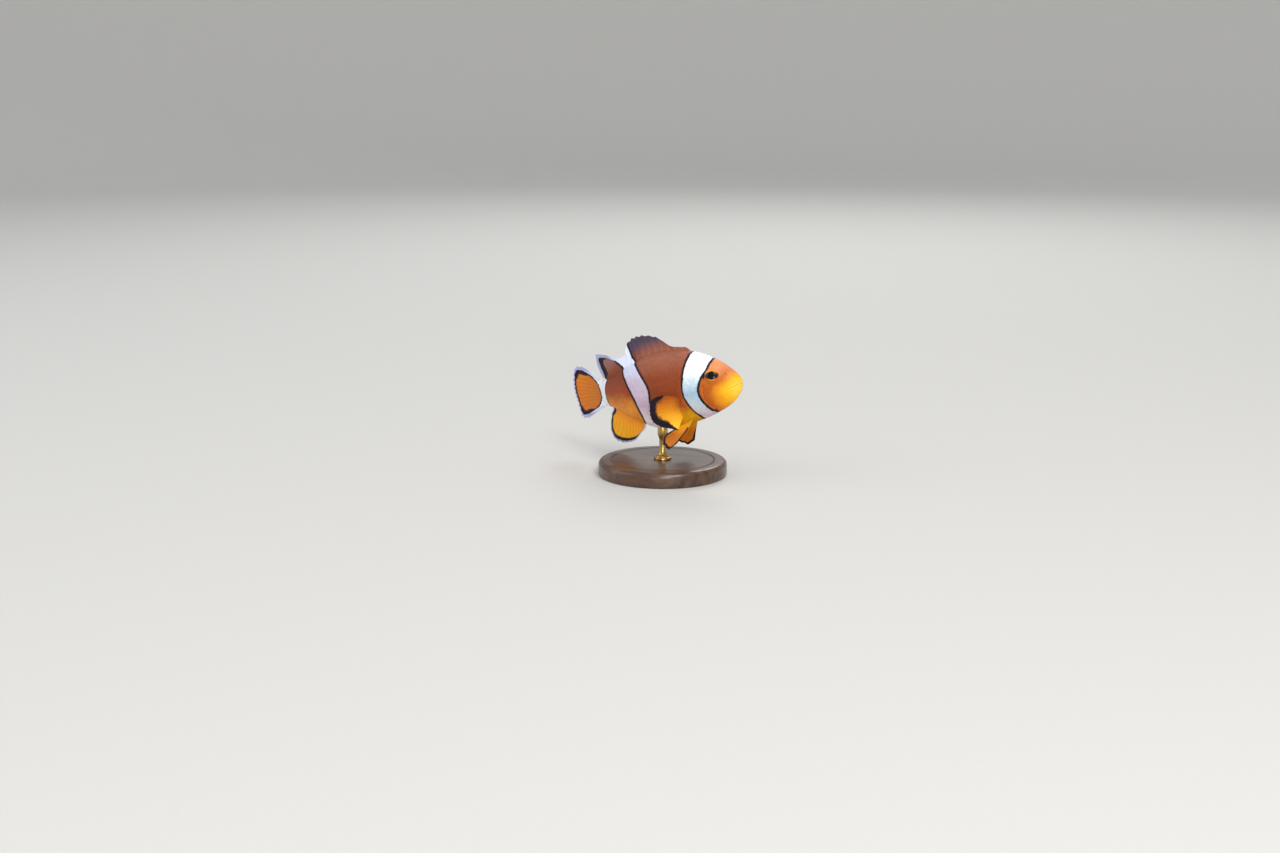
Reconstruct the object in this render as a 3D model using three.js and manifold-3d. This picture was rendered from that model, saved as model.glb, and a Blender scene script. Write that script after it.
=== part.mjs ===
// A life-size still model of a young clownfish (Amphiprion ocellaris), swimming with its head
// slightly raised and its tail curling to its left, held by one rod on a round base.
//
// Millimetres, +Z up. The origin is the centre of the base's underside, +X is where the fish heads
// and +Y is its left. Every part of the fish is first laid out on a straight fish, whose snout is at
// 0, 0, 0 and whose tail runs along -X. "Back" is the distance behind the snout. The straight parts
// are then bent along the body's curve, and the fish group pitches and lifts them onto the rod.

import * as THREE from "three";
import { mergeVertices } from "three/addons/utils/BufferGeometryUtils.js";
import Module from "manifold-3d";

const wasm = await Module();
wasm.setup();

// ---------------------------------------------------------------- driving dimensions

const BODY_LENGTH = 50; // snout to the root of the tail fin
const BODY_DEPTH = 22.7; // back to belly at the deepest place, without fins
const BODY_WIDTH = 10.8; // across the widest place, just behind the head
const TAIL_FIN_LENGTH = 17.5; // root of the tail fin to its rear edge
const PITCH = THREE.MathUtils.degToRad(10); // head up
const TAIL_BEND = THREE.MathUtils.degToRad(42); // how far the tail has turned from the head's line
const BEND_FROM = 20; // back, where the body starts to turn
const BEND_TO = 60; // back, where the turn is complete
const TAIL_LAG = THREE.MathUtils.degToRad(24); // how far the tail fin's edge trails back again
const LAG_FROM = 52; // back, where the tail fin starts to trail
const LAG_TO = 68; // back, from where it trails by the whole lag

const GAP = 0.3; // clearance between neighbouring parts
const MEMBRANE = 0.5; // thickness of a fin's skin
const RAY_RIDGE = 0.42; // extra thickness over a fin ray at its root

const HEAD_END = 14; // back, where the nape meets the trunk
const TRUNK_END = 40; // back, where the trunk narrows into the tail stalk

const BASE_RADIUS = 19;
const BASE_HEIGHT = 4.5;
const ROD_RADIUS = 1.0;
const ROD_BACK = 27.5; // back, the place on the belly that the rod holds
const BELLY_HEIGHT = 14; // belly above the floor at the rod

const RIGHT = -1; // sign of Y on the fish's right side
const LEFT = 1;
const SIDES = [
  ["right", RIGHT],
  ["left", LEFT],
];

// ---------------------------------------------------------------- colours

const finish = (colour, roughness, metalness = 0) =>
  new THREE.MeshStandardMaterial({ color: colour, roughness, metalness });
const SKIN = finish(0xb5581f, 0.45);
const SNOUT = finish(0xf2a31c, 0.45);
const BAR_WHITE = finish(0xe6f1f7, 0.4);
const FIN_SKIN = finish(0xe8821a, 0.5);
const DUSKY_FIN = finish(0x8a5340, 0.55);
const EYE_BLACK = finish(0x14101c, 0.08);
const WALNUT = finish(0x4a2f1e, 0.55);
const BRASS = finish(0xb08d4f, 0.3, 1);

// ---------------------------------------------------------------- curves

/** A smooth curve through rows of [at, value, value...] that never overshoots a row. */
function through(rows) {
  const at = rows.map((r) => r[0]);
  const tracks = rows[0].slice(1).map((_, k) => monotone(at, rows.map((r) => r[k + 1])));
  return (x) => tracks.map((track) => track(x));
}

function monotone(at, value) {
  const span = at.slice(1).map((a, i) => a - at[i]);
  const rise = span.map((h, i) => (value[i + 1] - value[i]) / h);
  const slope = value.map((_, i) => {
    if (i === 0) return rise[0];
    if (i === rise.length) return rise[i - 1];
    if (rise[i - 1] * rise[i] <= 0) return 0;
    const before = 2 * span[i] + span[i - 1];
    const after = span[i] + 2 * span[i - 1];
    return (before + after) / (before / rise[i - 1] + after / rise[i]);
  });
  return (x) => {
    const within = THREE.MathUtils.clamp(x, at[0], at[at.length - 1]);
    let i = 0;
    while (i < span.length - 1 && within > at[i + 1]) i++;
    const t = (within - at[i]) / span[i];
    const s = 1 - t;
    return (
      (1 + 2 * t) * s * s * value[i] +
      t * s * s * span[i] * slope[i] +
      t * t * (3 - 2 * t) * value[i + 1] -
      t * t * s * span[i] * slope[i + 1]
    );
  };
}

/** n + 1 even steps from a to b. */
const steps = (a, b, n) => Array.from({ length: n + 1 }, (_, i) => a + ((b - a) * i) / n);

// ---------------------------------------------------------------- body shape

// Share of the body length, then the back, the belly and the half width as shares of depth and width.
const BODY_ROWS = [
  [0.0, 0.0, 0.0, 0.0],
  [0.008, 0.062, -0.08, 0.126],
  [0.06, 0.196, -0.222, 0.292],
  [0.12, 0.302, -0.304, 0.376],
  [0.18, 0.379, -0.362, 0.44],
  [0.32, 0.48, -0.449, 0.5],
  [0.44, 0.505, -0.495, 0.491],
  [0.56, 0.476, -0.485, 0.431],
  [0.72, 0.361, -0.361, 0.306],
  [0.88, 0.219, -0.209, 0.176],
  [1.0, 0.162, -0.16, 0.102],
];
// The rows are read by the root of their place, which rounds the snout.
const bodyCurve = through(
  BODY_ROWS.map(([s, up, down, half]) => [
    Math.sqrt(s * BODY_LENGTH),
    up * BODY_DEPTH,
    down * BODY_DEPTH,
    half * BODY_WIDTH,
  ]),
);

/** The body's section at a place behind the snout. */
function section(back) {
  const [top, bottom, half] = bodyCurve(Math.sqrt(Math.max(0, back)));
  return { top, bottom, half, middle: (top + bottom) / 2, rise: (top - bottom) / 2 };
}

/** The point of the skin at a place and height, on one side. */
function skin(back, height, side) {
  const s = section(back);
  const share = THREE.MathUtils.clamp((height - s.middle) / s.rise, -1, 1);
  return new THREE.Vector3(-back, side * s.half * Math.sqrt(1 - share * share), height);
}

/** The skin's outward direction there. */
function skinNormal(back, height, side) {
  const d = 0.2;
  const along = skin(back - d, height, side).sub(skin(back + d, height, side));
  const up = skin(back, height + d, side).sub(skin(back, height - d, side));
  return up.cross(along).multiplyScalar(side).normalize();
}

const RING = 40; // corners of a body section
const SHORTEST_EDGE = 0.02;

/** The body from one place to another as a closed mesh, its sections grown by grow. */
function bodyLoft(from, to, grow, rings) {
  const places = steps(Math.sqrt(from), Math.sqrt(to), rings).map((q) => q * q);
  const points = [];
  const faces = [];
  const first = from === 0 ? 1 : 0; // the snout is a single point
  places.slice(first).forEach((back) => {
    const s = section(back);
    for (let i = 0; i < RING; i++) {
      const turn = (2 * Math.PI * i) / RING;
      points.push([
        -back,
        (s.half + grow) * Math.cos(turn),
        s.middle + (s.rise + grow) * Math.sin(turn),
      ]);
    }
  });
  const count = places.length - first;
  const front = points.push([from === 0 ? grow : -from, 0, section(from).middle]) - 1;
  const rear = points.push([-to, 0, section(to).middle]) - 1;
  for (let i = 0; i < RING; i++) {
    const next = (i + 1) % RING;
    faces.push([front, i, next]);
    for (let j = 0; j < count - 1; j++) {
      const a = j * RING;
      const b = a + RING;
      faces.push([a + i, b + i, b + next], [a + i, b + next, a + next]);
    }
    const last = (count - 1) * RING;
    faces.push([rear, last + next, last + i]);
  }
  return meshOf(points, faces);
}

// ---------------------------------------------------------------- meshes and solids

function meshOf(points, faces) {
  const geometry = new THREE.BufferGeometry();
  geometry.setAttribute("position", new THREE.Float32BufferAttribute(points.flat(), 3));
  geometry.setIndex(faces.flat());
  return geometry;
}

/** A closed mesh as a manifold-3d solid, its faces turned outwards if they point in. */
function solid(geometry) {
  const bare = new THREE.BufferGeometry();
  const loose = geometry.index ? geometry.toNonIndexed() : geometry;
  bare.setAttribute("position", loose.getAttribute("position"));
  const merged = mergeVertices(bare, 1e-4);
  const vertProperties = new Float32Array(merged.getAttribute("position").array);
  const triVerts = new Uint32Array(merged.index.array);
  const build = () => new wasm.Manifold(new wasm.Mesh({ numProp: 3, vertProperties, triVerts }));
  const made = build();
  if (made.volume() > 0) return made;
  for (let i = 0; i < triVerts.length; i += 3) {
    [triVerts[i + 1], triVerts[i + 2]] = [triVerts[i + 2], triVerts[i + 1]];
  }
  return build();
}

/** A solid's largest body, back as a mesh without needlessly short edges. */
function geometryOf(made) {
  const largest = made.decompose().sort((a, b) => b.volume() - a.volume())[0];
  const mesh = largest.simplify(SHORTEST_EDGE).getMesh();
  const points = [];
  for (let i = 0; i < mesh.numVert; i++) {
    points.push([...mesh.vertProperties.subarray(i * mesh.numProp, i * mesh.numProp + 3)]);
  }
  return meshOf(points, [[...mesh.triVerts]]);
}

/** A flat outline of [back, height] points, made into a bar that runs across one side. */
function sideBar(outline, side, from = 0.4, to = BODY_WIDTH) {
  const shape = new THREE.Shape(outline.map(([back, height]) => new THREE.Vector2(-back, height)));
  const bar = new THREE.ExtrudeGeometry(shape, { depth: to - from, bevelEnabled: false });
  bar.rotateX(Math.PI / 2); // the shape's height becomes Z and its depth runs to -Y
  bar.translate(0, side === RIGHT ? -from : to, 0);
  return solid(bar);
}

/** An outline moved outwards by a distance, corner by corner. */
function grown(outline, distance) {
  const loop = outline.map((p) => new THREE.Vector2(...p));
  const turn = THREE.ShapeUtils.area(loop) > 0 ? 1 : -1;
  return loop.map((p, i) => {
    const before = loop[(i + loop.length - 1) % loop.length];
    const after = loop[(i + 1) % loop.length];
    const along = after.clone().sub(before).normalize();
    return [p.x + turn * along.y * distance, p.y - turn * along.x * distance];
  });
}

/** A round tube along a curve, as thick at each share of it as radius says, with pointed ends. */
function tube(curve, radius, rings, sides = 8) {
  const frames = curve.computeFrenetFrames(rings, false);
  const points = [];
  const faces = [];
  for (let j = 0; j <= rings; j++) {
    const centre = curve.getPointAt(j / rings);
    for (let i = 0; i < sides; i++) {
      const turn = (2 * Math.PI * i) / sides;
      const corner = centre
        .clone()
        .addScaledVector(frames.normals[j], radius(j / rings) * Math.cos(turn))
        .addScaledVector(frames.binormals[j], radius(j / rings) * Math.sin(turn));
      points.push(corner.toArray());
    }
  }
  const start = points.push(curve.getPointAt(0).toArray()) - 1;
  const end = points.push(curve.getPointAt(1).toArray()) - 1;
  for (let i = 0; i < sides; i++) {
    const next = (i + 1) % sides;
    faces.push([start, next, i], [end, rings * sides + i, rings * sides + next]);
    for (let j = 0; j < rings; j++) {
      const a = j * sides;
      const b = a + sides;
      faces.push([a + i, a + next, b + next], [a + i, b + next, b + i]);
    }
  }
  return solid(meshOf(points, faces));
}

// ---------------------------------------------------------------- bending the straight fish

const CURVE_STEP = 0.25;
const spine = [{ x: 0, y: 0 }];
const heading = (back) =>
  TAIL_BEND * THREE.MathUtils.smoothstep(back, BEND_FROM, BEND_TO) -
  TAIL_LAG * THREE.MathUtils.smoothstep(back, LAG_FROM, LAG_TO);
for (let back = 0; back < BODY_LENGTH + 2 * TAIL_FIN_LENGTH; back += CURVE_STEP) {
  const turn = heading(back + CURVE_STEP / 2);
  const last = spine[spine.length - 1];
  spine.push({
    x: last.x - CURVE_STEP * Math.cos(turn),
    y: last.y + CURVE_STEP * Math.sin(turn),
  });
}

/** Where a point of the straight fish goes once the body curls to its left. */
function bend(point) {
  const back = -point.x;
  if (back <= 0) return point;
  const i = Math.min(Math.floor(back / CURVE_STEP), spine.length - 2);
  const t = back / CURVE_STEP - i;
  const turn = heading(back);
  return new THREE.Vector3(
    THREE.MathUtils.lerp(spine[i].x, spine[i + 1].x, t) + point.y * Math.sin(turn),
    THREE.MathUtils.lerp(spine[i].y, spine[i + 1].y, t) + point.y * Math.cos(turn),
    point.z,
  );
}

function bent(geometry) {
  const place = geometry.getAttribute("position");
  for (let i = 0; i < place.count; i++) {
    const moved = bend(new THREE.Vector3().fromBufferAttribute(place, i));
    place.setXYZ(i, moved.x, moved.y, moved.z);
  }
  return geometry;
}

// ---------------------------------------------------------------- head

const EYE_BACK = 7.4; // centre of the eye behind the snout
const EYE_HEIGHT = 3.3;
const EYE_RADIUS = 2.2;
const EYE_DEPTH = 1.5; // half thickness of the eyeball, across the head
const EYE_PROUD = 0.4; // how far the cornea stands out of the cheek
const MOUTH_BACK = 3.4; // corner of the mouth behind the snout
const MOUTH_FRONT = -0.25; // height of the mouth's line at the snout
const MOUTH_DROP = 1.0; // how far it falls from there to its corner
const LIP_SUNK = 0.09; // share of the way from the skin to the inside of the mouth

/** The eyeball, or with grow its socket, turned to face out of the cheek. */
function eyeball(side, grow = 0) {
  const out = skinNormal(EYE_BACK, EYE_HEIGHT, side);
  const ball = new THREE.SphereGeometry(1, 22, 14);
  ball.scale(EYE_RADIUS + grow, EYE_DEPTH + grow, EYE_RADIUS + grow);
  ball.applyQuaternion(
    new THREE.Quaternion().setFromUnitVectors(new THREE.Vector3(0, 1, 0), out),
  );
  const centre = skin(EYE_BACK, EYE_HEIGHT, side).addScaledVector(out, EYE_PROUD - EYE_DEPTH);
  ball.translate(centre.x, centre.y, centre.z);
  return solid(ball);
}

/** A ring of raised skin, round the eye or a nostril. */
function rim(back, height, side, radius, thick, segments) {
  const ring = new THREE.TorusGeometry(radius, thick, 8, segments);
  ring.applyQuaternion(
    new THREE.Quaternion().setFromUnitVectors(
      new THREE.Vector3(0, 0, 1),
      skinNormal(back, height, side),
    ),
  );
  const centre = skin(back, height, side);
  ring.translate(centre.x, centre.y, centre.z);
  return solid(ring);
}

const NOSTRIL_BACK = 3.7;
const NOSTRIL_HEIGHT = 3.1;
const NOSTRIL_RADIUS = 0.4;

function nostrilPit(side) {
  const pit = new THREE.SphereGeometry(NOSTRIL_RADIUS, 10, 8);
  const centre = skin(NOSTRIL_BACK, NOSTRIL_HEIGHT, side);
  pit.translate(centre.x, centre.y, centre.z);
  return solid(pit);
}

/** The mouth's line falls evenly from the snout's tip to its corner. */
const mouthHeight = (back) => MOUTH_FRONT - (MOUTH_DROP * back) / MOUTH_BACK;

/** How far behind the snout the middle of the face reaches the mouth's line plus raise. */
function faceAt(raise) {
  let [ahead, behind] = [0, MOUTH_BACK];
  for (let i = 0; i < 30; i++) {
    const back = (ahead + behind) / 2;
    const height = mouthHeight(back) + raise;
    const { top, bottom } = section(back);
    if (height < top && height > bottom) behind = back;
    else ahead = back;
  }
  return behind;
}

/** A lip: a roll of flesh, half sunk in the snout, that follows the mouth's line raise above it. */
function lip(raise, thick) {
  const front = faceAt(raise);
  const path = steps(-1, 1, 16).map((u) => {
    const back = front + (MOUTH_BACK - front) * u * u;
    const height = mouthHeight(back) + raise;
    const inside = new THREE.Vector3(-MOUTH_BACK, 0, height);
    return skin(back, height, Math.sign(u) || LEFT).lerp(inside, LIP_SUNK);
  });
  const taper = (t) => thick * (0.35 + 0.65 * Math.sin(Math.PI * t));
  return tube(new THREE.CatmullRomCurve3(path), taper, 28);
}

/** Side outline of the lower jaw, cut free along the mouth's line and down from its corner. */
const JAW_OUTLINE = [
  [-2, mouthHeight(-2) - GAP / 2],
  [MOUTH_BACK, mouthHeight(MOUTH_BACK) - GAP / 2],
  [MOUTH_BACK + 1.6, -4.4],
  [MOUTH_BACK + 2.0, -9],
  [-2, -9],
];

/** The gill cover's outline: round behind, its lower corner running forward under the cheek. */
const gillOutline = (() => {
  const corners = [
    [11.4, 5.4],
    [14.0, 5.4],
    [15.9, 3.2],
    [16.6, 0.2],
    [16.1, -3.4],
    [14.2, -7.0],
    [11.2, -8.3],
    [8.6, -6.6],
    [10.2, -4.2],
    [11.1, -1.0],
    [11.0, 2.6],
  ].map(([back, height]) => new THREE.Vector3(back, height, 0));
  const round = new THREE.CatmullRomCurve3(corners, true, "centripetal");
  return round.getSpacedPoints(40).slice(0, -1).map((p) => [p.x, p.y]);
})();

const COVER_PROUD = 0.35; // the gill cover stands this far out of the trunk's skin
const COVER_INSIDE = 0.5; // and reaches this far in

const outerSkin = solid(bodyLoft(0, BODY_LENGTH, COVER_PROUD, 26));
const innerSkin = solid(bodyLoft(0, BODY_LENGTH, -COVER_INSIDE, 26));
const innerClear = solid(bodyLoft(0, BODY_LENGTH, -COVER_INSIDE - GAP, 26));

const gillCover = (side) => outerSkin.subtract(innerSkin).intersect(sideBar(gillOutline, side));
const gillRecess = (side) => sideBar(grown(gillOutline, GAP), side).subtract(innerClear);

/** The head and lower jaw in one, so that their skins line up where they are parted. */
function headBlock() {
  let block = solid(bodyLoft(0, HEAD_END, 0, 18));
  block = block.add(lip(0.52, 0.46)).add(lip(-0.52, 0.46));
  for (const [, side] of SIDES) {
    block = block.add(rim(EYE_BACK, EYE_HEIGHT, side, EYE_RADIUS + GAP + 0.1, 0.22, 28));
    block = block.add(rim(NOSTRIL_BACK, NOSTRIL_HEIGHT, side, NOSTRIL_RADIUS, 0.2, 12));
  }
  return block;
}

const jawBar = (outline) => sideBar(outline, RIGHT, -BODY_WIDTH, BODY_WIDTH);

const block = headBlock();
const jaw = block.intersect(jawBar(JAW_OUTLINE));
let head = block.subtract(jawBar(grown(JAW_OUTLINE, GAP)));
for (const [, side] of SIDES) {
  head = head.subtract(eyeball(side, GAP)).subtract(nostrilPit(side)).subtract(gillRecess(side));
}

// ---------------------------------------------------------------- trunk and tail stalk

let trunk = solid(bodyLoft(HEAD_END + GAP, TRUNK_END, 0, 13));
for (const [, side] of SIDES) trunk = trunk.subtract(gillRecess(side));

const tailStalk = solid(bodyLoft(TRUNK_END + GAP, BODY_LENGTH, 0, 6));

// ---------------------------------------------------------------- fins

/**
 * A fin: a thin skin stretched over rays. at(u, v) is the middle of the skin, where u runs from the
 * first ray to the last and v from the root to the edge. Each ray is a ridge on both faces, and both
 * faces are split alike. flesh is the extra thickness where the fin grows out of the body.
 */
function fin({ rays, rows, at, across, flesh = 0.4, ridge = RAY_RIDGE }) {
  const pitch = 1 / (rays - 1);
  const columns = [];
  for (let k = 0; k < rays; k++) {
    for (const [offset, crest] of [[-0.3, 0], [0, 1], [0.3, 0]]) {
      const u = (k + offset) * pitch;
      if (u >= -1e-9 && u <= 1 + 1e-9) columns.push({ u, crest });
    }
  }
  const points = [];
  const faces = [];
  for (const sign of [1, -1]) {
    for (const { u, crest } of columns) {
      for (let j = 0; j <= rows; j++) {
        const v = j / rows;
        const half =
          (MEMBRANE * (1 - 0.3 * v * v) + crest * ridge * (1 - 0.65 * v) + flesh * (1 - v) ** 4) / 2;
        points.push(at(u, v).addScaledVector(across(u, v), sign * half).toArray());
      }
    }
  }
  const wide = columns.length;
  const tall = rows + 1;
  const near = (i, j) => i * tall + j;
  const far = (i, j) => wide * tall + i * tall + j;
  const wall = (a, b, c, d) => faces.push([a, b, c], [a, c, d]);
  for (let i = 0; i < wide - 1; i++) {
    for (let j = 0; j < rows; j++) {
      faces.push([near(i, j), near(i + 1, j), near(i + 1, j + 1)]);
      faces.push([near(i, j), near(i + 1, j + 1), near(i, j + 1)]);
      faces.push([far(i, j), far(i + 1, j + 1), far(i + 1, j)]);
      faces.push([far(i, j), far(i, j + 1), far(i + 1, j + 1)]);
    }
    wall(near(i, 0), far(i, 0), far(i + 1, 0), near(i + 1, 0));
    wall(near(i, rows), near(i + 1, rows), far(i + 1, rows), far(i, rows));
  }
  for (let j = 0; j < rows; j++) {
    wall(near(0, j), near(0, j + 1), far(0, j + 1), far(0, j));
    wall(near(wide - 1, j), far(wide - 1, j), far(wide - 1, j + 1), near(wide - 1, j + 1));
  }
  return meshOf(points, faces);
}

const SIDEWAYS = new THREE.Vector3(0, 1, 0);

/**
 * A fin that stands on the middle line. Its rays grow from root(u) = [back, height] to edge(u). The
 * middle of each ray bows forwards by bow, flare above 1 makes the rays fan out early, and scallop
 * is how far the skin falls short of the ray tips between them.
 */
function middleFin({ rays, rows, root, edge, bow = 0, flare = 1, scallop = 0, flesh, ridge }) {
  const at = (u, v) => {
    const [rootBack, rootHeight] = root(u);
    const [edgeBack, edgeHeight] = edge(u);
    const between = 0.5 - 0.5 * Math.cos(2 * Math.PI * u * (rays - 1)); // 0 at a ray, 1 between two
    const reach = v * (1 - scallop * between);
    const curve = bow * 4 * reach * (1 - reach);
    return new THREE.Vector3(
      -(rootBack + (edgeBack - rootBack) * reach - curve),
      0,
      rootHeight + (edgeHeight - rootHeight) * (1 - (1 - reach) ** flare),
    );
  };
  return solid(fin({ rays, rows, at, across: () => SIDEWAYS, flesh, ridge }));
}

const onBack = (back) => [back, section(back).top + GAP];
const onBelly = (back) => [back, section(back).bottom - GAP];

const SPINY = { spines: 11, from: 15.0, to: 36.6 };
const SOFT = { rays: 14, from: 37.1, to: 46.8 };
const ANAL = { rays: 13, from: 33.4, to: 45.8 };
const TAIL_RAYS = 15;

// Edges of the fins: share of the way along the fin, then back and height.
const spinyEdge = through([
  [0, 16.2, 11.9],
  [0.2, 20.6, 12.7],
  [0.3, 22.9, 14.3],
  [0.42, 25.6, 16.0],
  [0.6, 29.6, 16.8],
  [0.8, 33.6, 16.2],
  [0.9, 35.4, 15.0],
  [0.95, 36.2, 13.9],
  [1, 36.6, 12.2],
]);
const softEdge = through([
  [0, 37.8, 11.3],
  [0.1, 38.9, 10.7],
  [0.3, 42.4, 11.0],
  [0.5, 46.6, 11.7],
  [0.74, 52.3, 12.0],
  [0.82, 52.0, 9.8],
  [0.9, 50.9, 7.4],
  [1, 49.4, 4.9],
]);
const analEdge = through([
  [0, 34.4, -11.8],
  [0.3, 38.4, -14.4],
  [0.55, 43.6, -15.2],
  [0.72, 47.9, -14.0],
  [0.86, 49.4, -10.6],
  [1, 47.9, -6.0],
]);
const TAIL_SPREAD = 8.1; // half the height of the tail fin before its rounded rear corners
const tailEdge = through(
  [
    [0, 0.73, 0.985],
    [0.07, 0.87, 1],
    [0.14, 0.945, 0.9],
    [0.27, 0.985, 0.55],
    [0.5, 1, 0],
    [0.73, 0.985, -0.55],
    [0.86, 0.945, -0.9],
    [0.93, 0.87, -1],
    [1, 0.73, -0.985],
  ].map(([u, long, high]) => [u, BODY_LENGTH + long * TAIL_FIN_LENGTH, high * TAIL_SPREAD]),
);
const tailRoot = (u) => {
  const end = section(BODY_LENGTH);
  return [BODY_LENGTH + GAP, THREE.MathUtils.lerp(end.top - 0.2, end.bottom + 0.2, u)];
};

const spinyDorsal = middleFin({
  rays: SPINY.spines,
  rows: 4,
  root: (u) => onBack(THREE.MathUtils.lerp(SPINY.from, SPINY.to, u)),
  edge: spinyEdge,
  bow: 0.5,
  scallop: 0.07,
  ridge: 0.5,
});
const softDorsal = middleFin({
  rays: SOFT.rays,
  rows: 4,
  root: (u) => onBack(THREE.MathUtils.lerp(SOFT.from, SOFT.to, u)),
  edge: softEdge,
  bow: 0.7,
});
const analFin = middleFin({
  rays: ANAL.rays,
  rows: 4,
  root: (u) => onBelly(THREE.MathUtils.lerp(ANAL.from, ANAL.to, u)),
  edge: analEdge,
  bow: 0.6,
});
const tailFin = middleFin({
  rays: TAIL_RAYS,
  rows: 5,
  root: tailRoot,
  edge: tailEdge,
  flare: 0.9,
  flesh: 0.9,
});

/**
 * A fin of a pair: a fan whose rays spread evenly about a middle direction, slightly cupped. Its root
 * starts inside the body, and is cut back to the skin less the gap.
 */
function pairedFin({ rays, rows, rootTop, rootBottom, aim, spread, lengths, cup, flesh }) {
  const rootLine = rootBottom.clone().sub(rootTop);
  const middle = aim.clone().normalize();
  const face = new THREE.Vector3().crossVectors(rootLine, middle).normalize();
  const downInFan = new THREE.Vector3().crossVectors(middle, face).normalize();
  if (downInFan.dot(rootLine) < 0) downInFan.negate();
  const at = (u, v) => {
    const turn = THREE.MathUtils.lerp(-spread, spread, u);
    const ray = middle
      .clone()
      .multiplyScalar(Math.cos(turn))
      .addScaledVector(downInFan, Math.sin(turn));
    const long = lengths(u)[0];
    return rootTop
      .clone()
      .addScaledVector(rootLine, u)
      .addScaledVector(ray, long * v)
      .addScaledVector(face, cup * (v * v + 2 * (u - 0.5) ** 2 * v));
  };
  const plate = solid(fin({ rays, rows, at, across: () => face, flesh }));
  return plate.subtract(solid(bodyLoft(HEAD_END - 4, TRUNK_END, GAP, 16)));
}

const SUNK = 1.0; // how deep a paired fin's root starts under the skin
const sunk = (back, height, side) =>
  skin(back, height, side).addScaledVector(skinNormal(back, height, side), -SUNK);

const PECTORAL_LENGTH = 11.8;
const PECTORAL_OUT = THREE.MathUtils.degToRad(50); // how far it stands out from the flank

function pectoralFin(side) {
  return pairedFin({
    rays: 16,
    rows: 4,
    rootTop: sunk(17.4, -2.4, side),
    rootBottom: sunk(18.0, -7.1, side),
    aim: new THREE.Vector3(-Math.cos(PECTORAL_OUT), side * Math.sin(PECTORAL_OUT), -0.3),
    spread: THREE.MathUtils.degToRad(37),
    lengths: through([
      [0, 0.7 * PECTORAL_LENGTH],
      [0.12, 0.97 * PECTORAL_LENGTH],
      [0.28, PECTORAL_LENGTH],
      [0.42, 0.97 * PECTORAL_LENGTH],
      [0.6, 0.81 * PECTORAL_LENGTH],
      [0.8, 0.6 * PECTORAL_LENGTH],
      [1, 0.47 * PECTORAL_LENGTH],
    ]),
    cup: side * 0.9,
    flesh: 0.7,
  });
}

const PELVIC_LENGTH = 10.5;

function pelvicFin(side) {
  return pairedFin({
    rays: 6,
    rows: 4,
    rootTop: new THREE.Vector3(-16.6, side * 2.0, section(16.6).bottom + 0.9),
    rootBottom: new THREE.Vector3(-19.4, side * 1.5, section(19.4).bottom + 0.9),
    aim: new THREE.Vector3(-0.74, side * 0.28, -0.66),
    spread: THREE.MathUtils.degToRad(20),
    lengths: through([
      [0, 0.8 * PELVIC_LENGTH],
      [0.2, PELVIC_LENGTH],
      [0.6, 0.92 * PELVIC_LENGTH],
      [1, 0.62 * PELVIC_LENGTH],
    ]),
    cup: 0.5,
    flesh: 0.5,
  });
}

// ---------------------------------------------------------------- the fish, posed

const model = new THREE.Group();
const fish = new THREE.Group();
const stand = new THREE.Group();
model.add(fish, stand);

function add(group, name, geometry, material) {
  const mesh = new THREE.Mesh(geometry, material);
  mesh.name = name;
  group.add(mesh);
}

/** A part of the straight fish joins the posed one. */
const addToFish = (name, made, material) => add(fish, name, bent(geometryOf(made)), material);

const held = bend(new THREE.Vector3(-ROD_BACK, 0, section(ROD_BACK).bottom));
fish.rotation.y = -PITCH;
held.applyEuler(fish.rotation);
fish.position.set(-held.x, -held.y, BELLY_HEIGHT - held.z);

addToFish("head", head, SNOUT);
addToFish("lower_jaw", jaw, SNOUT);
addToFish("trunk", trunk, SKIN);
addToFish("tail_stalk", tailStalk, SKIN);
addToFish("dorsal_fin_spiny", spinyDorsal, DUSKY_FIN);
addToFish("dorsal_fin_soft", softDorsal, FIN_SKIN);
addToFish("anal_fin", analFin, FIN_SKIN);
addToFish("tail_fin", tailFin, FIN_SKIN);
for (const [name, side] of SIDES) {
  addToFish(`eye_${name}`, eyeball(side), EYE_BLACK);
  addToFish(`gill_cover_${name}`, gillCover(side), BAR_WHITE);
  addToFish(`pectoral_fin_${name}`, pectoralFin(side), FIN_SKIN);
  addToFish(`pelvic_fin_${name}`, pelvicFin(side), FIN_SKIN);
}

// ---------------------------------------------------------------- stand

function standBase() {
  const soften = 0.6; // lower edge
  const bevel = 1.4; // upper edge
  const profile = [
    [0, 0],
    [BASE_RADIUS - soften, 0],
    [BASE_RADIUS, soften],
    [BASE_RADIUS, BASE_HEIGHT - bevel],
    [BASE_RADIUS - 0.3 * bevel, BASE_HEIGHT - 0.3 * bevel],
    [BASE_RADIUS - bevel, BASE_HEIGHT],
    [0, BASE_HEIGHT],
  ].map(([r, z]) => new THREE.Vector2(r, z));
  return new THREE.LatheGeometry(profile, 48).rotateX(Math.PI / 2);
}

/** A rod with a foot flange and a small pad, whose top is cut to the belly's curve. */
function standRod() {
  const foot = BASE_HEIGHT + GAP;
  const profile = [
    [0, foot],
    [2.6, foot],
    [2.6, foot + 0.7],
    [1.5, foot + 1.3],
    [ROD_RADIUS, foot + 2.2],
    [ROD_RADIUS, BELLY_HEIGHT - 3.2],
    [1.5, BELLY_HEIGHT - 2.0],
    [1.5, BELLY_HEIGHT + 2],
    [0, BELLY_HEIGHT + 2],
  ].map(([r, z]) => new THREE.Vector2(r, z));
  const rod = solid(new THREE.LatheGeometry(profile, 24).rotateX(Math.PI / 2));
  fish.updateMatrix();
  const belly = bent(bodyLoft(HEAD_END, TRUNK_END, GAP, 26)).applyMatrix4(fish.matrix);
  return geometryOf(rod.subtract(solid(belly)));
}

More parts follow.
